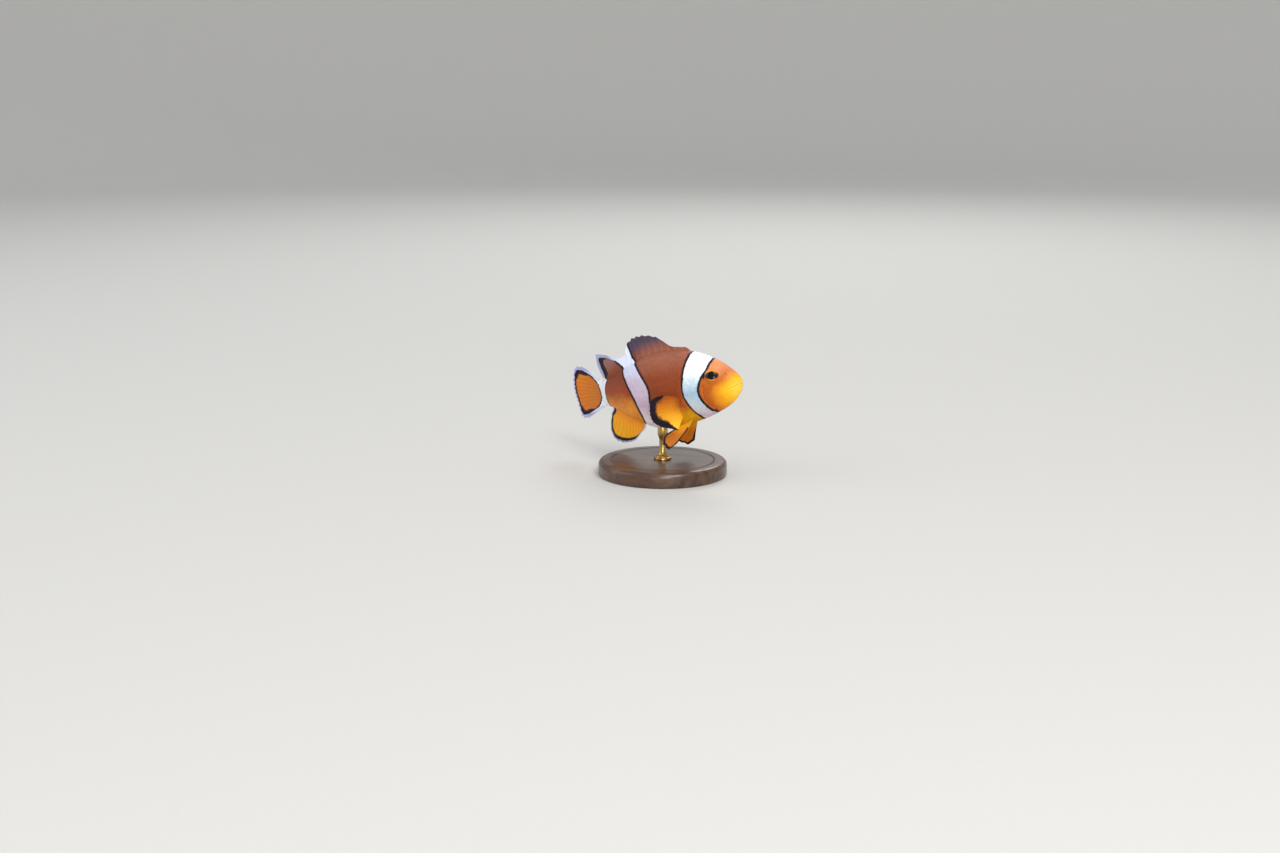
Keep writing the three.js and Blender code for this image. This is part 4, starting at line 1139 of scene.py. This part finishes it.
def build_fin(
    fish, name, material, at, margin, rays, scallop, ridge, flesh, soft=True, sides=True, bars=(), columns=16
):
    """A fin as a closed plate. u runs from its first ray to its last, and v from its root to its edge.

    at gives the middle of its skin, its sideways direction and its sway. margin gives the widths of
    the pale rim and of the dark band inside it, and 1 where the rim is grey; sides tells whether
    they run down the first and the last ray too. The edge dips by scallop between the rays. ridge is
    what a ray adds to the fin's thickness, and flesh is half of what its fleshy root adds.
    """
    wide = (rays - 1) * columns + 1
    rows = 1 - (1 - np.linspace(0, 1, ROWS)) ** 1.15  # closer together towards the edge
    u, v = (grid.ravel() for grid in np.meshgrid(np.linspace(0, 1, wide), rows, indexing="ij"))
    between = 0.5 - 0.5 * np.cos(2 * math.pi * u * (rays - 1))
    middle, across, sway = at(u, v, v * (1 - scallop * between))
    crest = ray_crest(u, v, rays, soft)
    grid = middle.reshape(wide, ROWS, 3)
    steps = np.linalg.norm(np.diff(grid, axis=1), axis=-1)
    run = np.concatenate([np.zeros((wide, 1)), np.cumsum(steps, axis=1)], axis=1).ravel()
    thin = np.sqrt(np.clip((1 - v) / 0.03, 0.02, 1))  # the very edge is rounded
    half = (fish.sizes.web / MM * (1 - 0.45 * v) + crest * ridge * (1 - 0.72 * v)) / 2 * thin
    half += flesh * np.exp(-run / 0.9)
    middle = middle + across * sway[:, None]
    points = np.concatenate([middle + across * half[:, None], middle - across * half[:, None]])
    border = [grid[:, -1]]
    if sides:
        border = [grid[0, ROWS // 4 :], grid[:, -1], grid[-1, ROWS // 4 :][::-1]]
    to_edge = distance_to(grid.reshape(-1, 3), np.concatenate(border)[::4])
    piece = new_piece(name, fish.placed(points), [plate_faces(wide, ROWS)], material)
    mark(fish, piece, points, bars)
    rim, band, grey = margin(u, v)
    layers = np.broadcast_arrays(to_edge / rim, (to_edge - rim) / band, grey)
    give(piece, "margin", np.tile(np.stack(layers, -1), (2, 1)))
    give(piece, "run", np.tile(np.stack([run, u * 40, crest], -1), (2, 1)))
    return piece


def middle_fin(root, edge, bow, waves, flare=1.0):
    """The middle of a fin on the fish's middle line, as the solids have it, with a wave at its edge.

    bow is how far forward its rays bend halfway up, and waves holds the wave's size, count and phase.
    A flare below 1 makes the fin spread late, towards its edge.
    """

    def at(u, v, reach):
        root_back, root_height = root(u)
        edge_back, edge_height = np.moveaxis(edge(u), -1, 0)
        back = root_back + (edge_back - root_back) * reach - bow * 4 * reach * (1 - reach)
        height = root_height + (edge_height - root_height) * (1 - (1 - reach) ** flare)
        size, count, phase = waves
        sway = size * v**2 * np.sin(2 * math.pi * (count * u + 0.25 * v) + phase)
        return np.stack([-back, 0 * back, height], -1), np.tile([0.0, 1.0, 0.0], (len(u), 1)), sway

    return at


def paired_fin(top, foot, aim, spread, lengths, longest, cup, wave):
    """The middle of a fin of a pair: a fan of rays that spread to both sides of its aim.

    cup is how far the fan curves out of its plane, and wave is the size of the wave along its edge.
    """
    root_line = foot - top
    middle_ray = np.array(aim) / np.linalg.norm(aim)
    face = np.cross(root_line, middle_ray)
    face = face / np.linalg.norm(face)
    down = np.cross(middle_ray, face)
    down = down / np.linalg.norm(down)
    if down @ root_line < 0:
        down = -down

    def at(u, v, reach):
        turned = spread * (2 * u - 1)
        ray = np.cos(turned)[:, None] * middle_ray + np.sin(turned)[:, None] * down
        long = lengths(u)[:, 0] * longest * reach
        middle = top + root_line * u[:, None] + ray * long[:, None]
        middle = middle + face * (cup * (v * v + 2 * (u - 0.5) ** 2 * v))[:, None]
        count, phase = FAN_WAVE
        sway = wave * v**2 * np.sin(2 * math.pi * count * u + phase)
        return middle, np.tile(face, (len(u), 1)), sway

    return at


# Margins of the fins: widths of the pale rim and of the dark band inside it, and 1 where the rim is grey.


def spiny_margin(u, v):
    return 0.2, 0.5, 0.0


def soft_margin(u, v):
    rim = 0.3 + 0.65 * smooth(0.05, 0.2, u) + 0.4 * smooth(0.62, 0.8, u)
    band = 0.12 + 0.75 * smooth(0.5, 0.72, u) + 1.3 * hump(u - 0.77, 0.1)
    return rim, band, smooth(0.28, 0.5, u)


def anal_margin(u, v):
    rim = 0.35 + 0.25 * hump(u - 0.7, 0.25)
    band = 0.08 + 0.6 * smooth(0.1, 0.4, u) + 0.4 * hump(u - 0.7, 0.2)
    return rim, band, smooth(0.1, 0.4, u)


def tail_margin(u, v):
    off_middle = np.abs(2 * u - 1)
    corner = smooth(0.4, 0.66, off_middle) * smooth(0.5, 0.74, v)
    band = 0.3 + 0.35 * smooth(0.6, 0.8, v) + 1.15 * corner
    return 0.5 + 0.7 * smooth(0.6, 0.86, off_middle), band, smooth(0.5, 0.85, v)


def pectoral_margin(u, v):
    return 0.02, 0.15 + 2.1 * smooth(-0.08, 0.2, u) * smooth(1.06, 0.5, u), 0.0


def pelvic_margin(u, v):
    return 0.02, 0.05 + 0.65 * smooth(0.3, 0.9, v), 0.0


def build_middle_fins(fish, c):
    """The dorsal fin's two parts, the anal fin and the tail fin."""

    def root(start, end, up):
        """The foot of a fin on the back where up is 1, or on the belly where it is -1."""

        def read(u):
            back = start + (end - start) * u
            top, bottom, _ = fish.section(back)
            return back, (top if up > 0 else bottom) - up * FIN_ROOT

        return read

    def tail_root(u):
        deep, inset = TAIL_ROOT
        top, bottom, _ = fish.section(fish.long)
        return np.full_like(u, fish.long - deep), (top - inset) + (bottom - top + 2 * inset) * u

    def tail_edge(u):
        return TAIL_EDGE(u) * (fish.tail_fin, TAIL_SPREAD) + (fish.long, 0.0)

    skin = fin_material("spiny_fin_skin", c, c.dusky, far=5.4, has_bars=True)
    at = middle_fin(root(*SPINY_ROOT, up=1), SPINY_EDGE, bow=0.5, waves=(0.25, 2.3, 0.4))
    form = {"rays": 11, "scallop": 0.05, "ridge": 0.42, "flesh": 0.6, "soft": False, "sides": False}
    spiny = build_fin(fish, "dorsal_spines", skin, at, spiny_margin, bars=(0, 1), **form)

    skin = fin_material("soft_fin_skin", c, c.soft_fin, band=True, rim=True, has_bars=True)
    at = middle_fin(root(*SOFT_ROOT, up=1), SOFT_EDGE, bow=0.7, waves=(0.35, 1.5, 1.0))
    form = {"rays": 14, "scallop": 0.015, "ridge": 0.3, "flesh": 0.3, "sides": False}
    soft = build_fin(fish, "dorsal_soft_rays", skin, at, soft_margin, bars=(1,), **form)

    skin = fin_material("anal_fin_skin", c, c.belly, band=True, rim=True)
    at = middle_fin(root(*ANAL_ROOT, up=-1), ANAL_EDGE, bow=0.6, waves=(0.35, 1.5, 2.0))
    form = {"rays": 13, "scallop": 0.015, "ridge": 0.3, "flesh": 0.3}
    anal = build_fin(fish, "anal_rays", skin, at, anal_margin, **form)

    skin = fin_material("tail_fin_skin", c, c.fin, band=True, rim=True, has_bars=True)
    at = middle_fin(tail_root, tail_edge, bow=0.0, waves=(0.35, 1.3, 0.0), flare=0.9)
    form = {"rays": 15, "scallop": 0.015, "ridge": 0.34, "flesh": 0.3}
    tail = build_fin(fish, "tail_rays", skin, at, tail_margin, bars=(2,), **form)
    return spiny, soft, anal, tail


def build_pectoral_fin(fish, side, name, material):
    """The fan behind the gill cover, whose root starts a millimetre under the skin."""
    top, foot = (np.subtract(*fish.spot(*place, side)) for place in (PECTORAL_TOP, PECTORAL_FOOT))
    aim = (-math.cos(PECTORAL_OUT), side * math.sin(PECTORAL_OUT), -PECTORAL_DROOP)
    fan = {"spread": math.radians(37), "lengths": PECTORAL_RAYS, "longest": fish.sizes.pectoral / MM}
    at = paired_fin(top, foot, aim, **fan, cup=side * 0.9, wave=0.2)
    form = {"rays": 16, "scallop": 0.015, "ridge": 0.26, "flesh": 0.28, "sides": False}
    return build_fin(fish, name, material, at, pectoral_margin, **form)


def build_pelvic_fin(fish, side, name, material):
    """The narrow fin under the belly."""
    top, foot = (
        np.array([-back, side * off, fish.section(back)[1] + PELVIC_ROOT]) for back, off in PELVIC_ENDS
    )
    aim = np.multiply(PELVIC_AIM, (1, side, 1))
    fan = {"spread": math.radians(20), "lengths": PELVIC_RAYS, "longest": fish.sizes.pelvic / MM}
    at = paired_fin(top, foot, aim, **fan, cup=0.5, wave=0.25)
    form = {"rays": 6, "scallop": 0.03, "ridge": 0.34, "flesh": 0.22, "columns": 24}
    return build_fin(fish, name, material, at, pelvic_margin, **form)


# ---------------------------------------------------------------- eyes

EYEBALL_AROUND = 72
EYEBALL_STEPS = 36  # from its front to its rear
PUPIL_BULGE = 0.12


def build_eye(fish, side, name, material):
    """An eyeball, flatter than a sphere, that looks out of the cheek, with a pupil that bulges a little."""
    sizes = fish.sizes
    on_skin, out = fish.spot(*EYE, side)
    ahead = np.array([1.0, 0.0, 0.0])
    ahead = ahead - out * (ahead @ out)
    ahead = ahead / np.linalg.norm(ahead)
    up = np.cross(out, ahead) * -side
    spins = 2 * math.pi * np.arange(EYEBALL_AROUND) / EYEBALL_AROUND
    tilt, spin = ring_points(np.linspace(0, math.pi, EYEBALL_STEPS + 1), spins)
    off = sizes.eye / MM * np.sin(tilt)
    rise = sizes.eye_depth / MM * np.cos(tilt)
    rise += PUPIL_BULGE * (1 - smooth(0.75, 1.3, off / (sizes.pupil / MM))) * (tilt < math.pi / 2)
    gaze = np.stack([off * np.cos(spin), off * np.sin(spin), 0 * off], -1)
    centre = on_skin + out * (sizes.eye_proud - sizes.eye_depth) / MM
    points = centre + gaze[:, :1] * ahead + gaze[:, 1:2] * up + rise[:, None] * out
    piece = new_piece(name, fish.placed(points), ring_faces(EYEBALL_STEPS - 1, EYEBALL_AROUND), material)
    give(piece, "gaze", gaze)
    return piece


# ---------------------------------------------------------------- stand and stage


def begin(name):
    """Names the primitive just added, and opens it in edit mode with nothing selected."""
    piece = bpy.context.object
    piece.name = name
    piece.data.name = name
    bpy.ops.object.transform_apply(location=True, rotation=True, scale=True)
    bpy.ops.object.mode_set(mode="EDIT")
    bpy.ops.mesh.select_all(action="DESELECT")
    return piece


def pick_faces(piece, test):
    """Selects the faces whose centre and direction pass the test."""
    bpy.ops.mesh.select_mode(type="FACE")
    shape = bmesh.from_edit_mesh(piece.data)
    for face in shape.faces:
        face.select_set(bool(test(face.calc_center_median(), face.normal)))
    bmesh.update_edit_mesh(piece.data)


def pick_edges(piece, test):
    """Selects the edges whose two ends pass the test."""
    bpy.ops.mesh.select_mode(type="EDGE")
    shape = bmesh.from_edit_mesh(piece.data)
    for edge in shape.edges:
        edge.select_set(all(test(v.co) for v in edge.verts))
    bmesh.update_edit_mesh(piece.data)


def draw_up(profile, start):
    """Extrudes the selected face up a profile of (radius, height), as a lathe would turn it."""
    radius, height = start
    for next_radius, next_height in profile:
        bpy.ops.mesh.extrude_region_move(TRANSFORM_OT_translate={"value": (0, 0, next_height - height)})
        grow = next_radius / radius
        bpy.ops.transform.resize(value=(grow, grow, 1), center_override=(0, 0, next_height))
        radius, height = next_radius, next_height


# Rings of the base's top from its edge inwards, the middle two a shallow groove: width, then rise.
TOP_RINGS = ((0.0034, 0.0), (0.00035, -0.00025), (0.00035, 0.00025), (0.006, 0.0))
TOP_EDGE = (0.0014, 8)  # width of the rounding, and its steps
FOOT_EDGE = (0.0006, 4)


def build_base(stand):
    """The turned wooden base: a disc with a soft upper edge and a shallow ring cut into its top."""
    radius, height = stand.base_radius, stand.base_height
    bpy.ops.object.select_all(action="DESELECT")
    middle = (0, 0, height / 2)
    bpy.ops.mesh.primitive_cylinder_add(vertices=144, radius=radius, depth=height, location=middle)
    piece = begin("stand_base_wood")
    pick_faces(piece, lambda centre, normal: normal.z > 0.9)
    for width, rise in TOP_RINGS:
        bpy.ops.mesh.inset(thickness=width, depth=rise)
    pick_edges(piece, lambda at: at.z > height - 1e-6 and at.xy.length > radius - 1e-5)
    bpy.ops.mesh.bevel(offset=TOP_EDGE[0], segments=TOP_EDGE[1], profile=0.5)
    pick_edges(piece, lambda at: at.z < 1e-6 and at.xy.length > radius - 1e-5)
    bpy.ops.mesh.bevel(offset=FOOT_EDGE[0], segments=FOOT_EDGE[1], profile=0.5)
    bpy.ops.object.mode_set(mode="OBJECT")
    bpy.ops.object.shade_smooth_by_angle(angle=math.radians(28))
    piece.data.materials.append(wood_material(stand))
    return piece


FLANGE_RADIUS = 0.0026
PAD_RADIUS = 0.0015
ROD_ROUNDING = 0.00012


def build_rod(stand, belly):
    """The brass rod, from the flange on the base to the small pad under the belly."""
    foot, rod = stand.base_height, stand.rod_radius
    bpy.ops.object.select_all(action="DESELECT")
    bpy.ops.mesh.primitive_circle_add(
        vertices=64, radius=FLANGE_RADIUS, fill_type="NGON", location=(0, 0, foot)
    )
    piece = begin("stand_rod_brass")
    bpy.ops.mesh.select_all(action="SELECT")
    profile = (
        (FLANGE_RADIUS, foot + 0.0007), (0.0021, foot + 0.0009), (0.0021, foot + 0.0011),
        (0.0014, foot + 0.0015), (rod, foot + 0.0024), (rod, belly - 0.0034),
        (rod * 1.15, belly - 0.0029), (PAD_RADIUS, belly - 0.0020), (PAD_RADIUS, belly + 0.0005),
    )
    draw_up(profile, (FLANGE_RADIUS, foot))
    bpy.ops.mesh.select_all(action="SELECT")
    bpy.ops.mesh.normals_make_consistent(inside=False)
    bpy.ops.object.mode_set(mode="OBJECT")
    rounding = piece.modifiers.new("round", "BEVEL")
    rounding.width = ROD_ROUNDING
    rounding.segments = 3
    rounding.limit_method = "ANGLE"
    rounding.angle_limit = math.radians(25)
    bpy.ops.object.modifier_apply(modifier=rounding.name)
    bpy.ops.object.shade_smooth_by_angle(angle=math.radians(35))
    piece.data.materials.append(metal_material(stand))
    return piece


FLOOR_START = 0.3  # radius of the disc that the floor is drawn out from
FLOOR_RADIUS = 1.2
WALL_RADIUS = 1.7
WALL_HEIGHT = 1.5
SWEEP_HEIGHT = 0.5
SWEEP_STEPS = 8


def build_floor(stand):
    """A pale round floor that sweeps up into a wall, so that no edge shows from any side."""
    bpy.ops.object.select_all(action="DESELECT")
    bpy.ops.mesh.primitive_circle_add(vertices=96, radius=FLOOR_START, fill_type="NGON", location=(0, 0, 0))
    piece = begin("stage_floor")
    bpy.ops.mesh.select_all(action="SELECT")
    sweep = [(FLOOR_RADIUS, 0.0)]
    for k in range(1, SWEEP_STEPS + 1):
        lean = math.pi / 2 * k / SWEEP_STEPS
        radius = FLOOR_RADIUS + (WALL_RADIUS - FLOOR_RADIUS) * math.sin(lean)
        sweep.append((radius, SWEEP_HEIGHT * (1 - math.cos(lean))))
    draw_up([*sweep, (WALL_RADIUS, WALL_HEIGHT)], (FLOOR_START, 0.0))
    pick_faces(piece, lambda centre, normal: centre.z > WALL_HEIGHT - 1e-4)
    bpy.ops.mesh.delete(type="FACE")
    bpy.ops.object.mode_set(mode="OBJECT")
    bpy.ops.object.shade_smooth()
    piece.data.materials.append(paper_material(stand))
    return piece


# Each lamp's name, place, size, share of the key light's power, and tint.
LAMPS = (
    ("key_lamp", (0.55, -0.5, 0.75), 0.5, 1.0, (1.0, 0.985, 0.96)),
    ("fill_lamp", (-0.7, -0.45, 0.4), 0.7, 0.3, (0.95, 0.97, 1.0)),
    ("low_lamp", (0.45, -0.75, 0.14), 0.24, 0.5, (1.0, 0.96, 0.95)),
    ("rear_lamp", (-0.2, 0.75, 0.65), 0.5, 0.45, (1.0, 1.0, 1.0)),
)
LAMP_AIM = (0.0, 0.0, 0.025)
ROOM_COLOUR = (0.95, 0.97, 1.0, 1.0)
ROOM_STRENGTH = 0.75
LENS = 48.94  # millimetres, on a sensor 36 mm wide
CAMERA_PLACE = (0.209328, -0.456004, 0.120765)
CAMERA_AIM = (-0.000632, -0.014245, 0.017008)


def set_up(name, data, place, aim):
    """Puts a lamp or a camera at its place, looking at its aim."""
    holder = bpy.data.objects.new(name, data)
    holder.location = place
    holder.rotation_euler = (Vector(aim) - Vector(place)).to_track_quat("-Z", "Y").to_euler()
    bpy.context.scene.collection.objects.link(holder)
    return holder


def build_stage(stand):
    """The floor, four soft lamps, the light of a pale room, and the camera."""
    floor = build_floor(stand)
    for name, place, size, share, tint in LAMPS:
        lamp = bpy.data.lights.new(name, "AREA")
        lamp.shape = "DISK"
        lamp.size = size
        lamp.energy = stand.key * share
        lamp.color = tint
        set_up(name, lamp, place, LAMP_AIM)
    world = bpy.data.worlds.new("soft_room")
    bpy.context.scene.world = world
    world.use_nodes = True
    sky = world.node_tree.nodes["Background"]
    sky.inputs["Color"].default_value = ROOM_COLOUR
    sky.inputs["Strength"].default_value = ROOM_STRENGTH
    camera = bpy.data.cameras.new("view_camera")
    camera.lens = LENS
    camera.sensor_width = 36.0
    camera.clip_start = 0.01
    camera.clip_end = 20.0
    bpy.context.scene.camera = set_up("view_camera", camera, CAMERA_PLACE, CAMERA_AIM)
    bpy.context.scene.view_settings.view_transform = "Standard"


# ---------------------------------------------------------------- operators


def settle(piece, slot, *nodes):
    """Puts a piece on the model: it rides the body and stands for its nodes, which are hidden. The slot is
    not used.
    """
    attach(piece, "root")
    if nodes:
        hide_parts(*nodes)


def current_fish():
    return Fish(bpy.context.scene.clownfish_sizes), bpy.context.scene.clownfish_colours


class CLOWNFISH_OT_skin(bpy.types.Operator):
    """Lay one skin over the head, jaw, gill covers, trunk and tail stalk"""

    bl_idname = "clownfish.skin"
    bl_label = "Skin"

    def execute(self, context):
        fish, c = current_fish()
        nodes = ("head", "lower_jaw", "trunk", "tail_stalk", "gill_cover_right", "gill_cover_left")
        settle(build_skin(fish, skin_material(c)), "flank_skin", *nodes)
        return {"FINISHED"}


class CLOWNFISH_OT_scales(bpy.types.Operator):
    """Cover the skin with rows of scales, one piece for each side"""

    bl_idname = "clownfish.scales"
    bl_label = "Scales"

    def execute(self, context):
        fish, c = current_fish()
        flank = Flank(fish)
        material = scale_material(c)
        for name, side in SIDES:
            settle(build_scales(fish, flank, side, "scales_" + name, material), "flank_skin")
        return {"FINISHED"}


class CLOWNFISH_OT_middle_fins(bpy.types.Operator):
    """Raise the fins of the back, the anal fin and the tail fin"""

    bl_idname = "clownfish.middle_fins"
    bl_label = "Middle fins"

    def execute(self, context):
        fish, c = current_fish()
        spiny, soft, anal, tail = build_middle_fins(fish, c)
        settle(spiny, "dusky_fin_skin", "dorsal_fin_spiny")
        settle(soft, "fin_skin", "dorsal_fin_soft")
        settle(anal, "fin_skin", "anal_fin")
        settle(tail, "fin_skin", "tail_fin")
        return {"FINISHED"}


class CLOWNFISH_OT_paired_fins(bpy.types.Operator):
    """Spread the pectoral and the pelvic fins"""

    bl_idname = "clownfish.paired_fins"
    bl_label = "Paired fins"

    def execute(self, context):
        fish, c = current_fish()
        fan = fin_material("pectoral_fin_skin", c, c.pectoral, far=4.6, low=c.pectoral_low, band=True)
        blade = fin_material("pelvic_fin_skin", c, c.fin, band=True)
        for name, side in SIDES:
            pectoral = build_pectoral_fin(fish, side, "pectoral_rays_" + name, fan)
            settle(pectoral, "fin_skin", "pectoral_fin_" + name)
            pelvic = build_pelvic_fin(fish, side, "pelvic_rays_" + name, blade)
            settle(pelvic, "fin_skin", "pelvic_fin_" + name)
        return {"FINISHED"}


class CLOWNFISH_OT_eyes(bpy.types.Operator):
    """Set the two eyes in their sockets"""

    bl_idname = "clownfish.eyes"
    bl_label = "Eyes"

    def execute(self, context):
        fish, c = current_fish()
        material = eye_material(c, fish.sizes.pupil / MM)
        for name, side in SIDES:
            settle(build_eye(fish, side, "eyeball_" + name, material), "eye", "eye_" + name)
        return {"FINISHED"}


class CLOWNFISH_OT_stand(bpy.types.Operator):
    """Turn the wooden base and the brass rod"""

    bl_idname = "clownfish.stand"
    bl_label = "Stand"

    def execute(self, context):
        stand = context.scene.clownfish_stand
        settle(build_base(stand), "base_wood", "stand_base")
        settle(build_rod(stand, context.scene.clownfish_sizes.belly_height), "rod_metal", "stand_rod")
        return {"FINISHED"}


class CLOWNFISH_OT_stage(bpy.types.Operator):
    """Set up the pale floor, the soft lamps and the camera"""

    bl_idname = "clownfish.stage"
    bl_label = "Stage"

    def execute(self, context):
        build_stage(context.scene.clownfish_stand)
        return {"FINISHED"}


class CLOWNFISH_PT_panel(bpy.types.Panel):
    """Lists the steps in order, with the sizes and colours that they use"""

    bl_idname = "CLOWNFISH_PT_panel"
    bl_label = "Clownfish"
    bl_space_type = "VIEW_3D"
    bl_region_type = "UI"
    bl_category = "Clownfish"

    def draw(self, context):
        steps = self.layout.column(align=True)
        for operator in OPERATORS:
            steps.operator(operator.bl_idname)
        for settings in SETTINGS:
            group = getattr(context.scene, settings)
            box = self.layout.box()
            for name in group.bl_rna.properties.keys():
                if name not in ("rna_type", "name"):
                    box.prop(group, name)


OPERATORS = (
    CLOWNFISH_OT_skin,
    CLOWNFISH_OT_scales,
    CLOWNFISH_OT_middle_fins,
    CLOWNFISH_OT_paired_fins,
    CLOWNFISH_OT_eyes,
    CLOWNFISH_OT_stand,
    CLOWNFISH_OT_stage,
)
SETTINGS = {
    "clownfish_sizes": FishSizes,
    "clownfish_colours": FishColours,
    "clownfish_stand": StandSettings,
}


def register():
    for cls in (*SETTINGS.values(), *OPERATORS, CLOWNFISH_PT_panel):
        bpy.utils.register_class(cls)
    for name, group in SETTINGS.items():
        setattr(bpy.types.Scene, name, bpy.props.PointerProperty(type=group))


def unregister():
    for name in SETTINGS:
        delattr(bpy.types.Scene, name)
    for cls in (CLOWNFISH_PT_panel, *reversed(OPERATORS), *reversed(SETTINGS.values())):
        bpy.utils.unregister_class(cls)


def main():
    register()
    bpy.ops.clownfish.skin()
    bpy.ops.clownfish.scales()
    bpy.ops.clownfish.middle_fins()
    bpy.ops.clownfish.paired_fins()
    bpy.ops.clownfish.eyes()
    bpy.ops.clownfish.stand()
    bpy.ops.clownfish.stage()


if __name__ == "__main__":
    main()
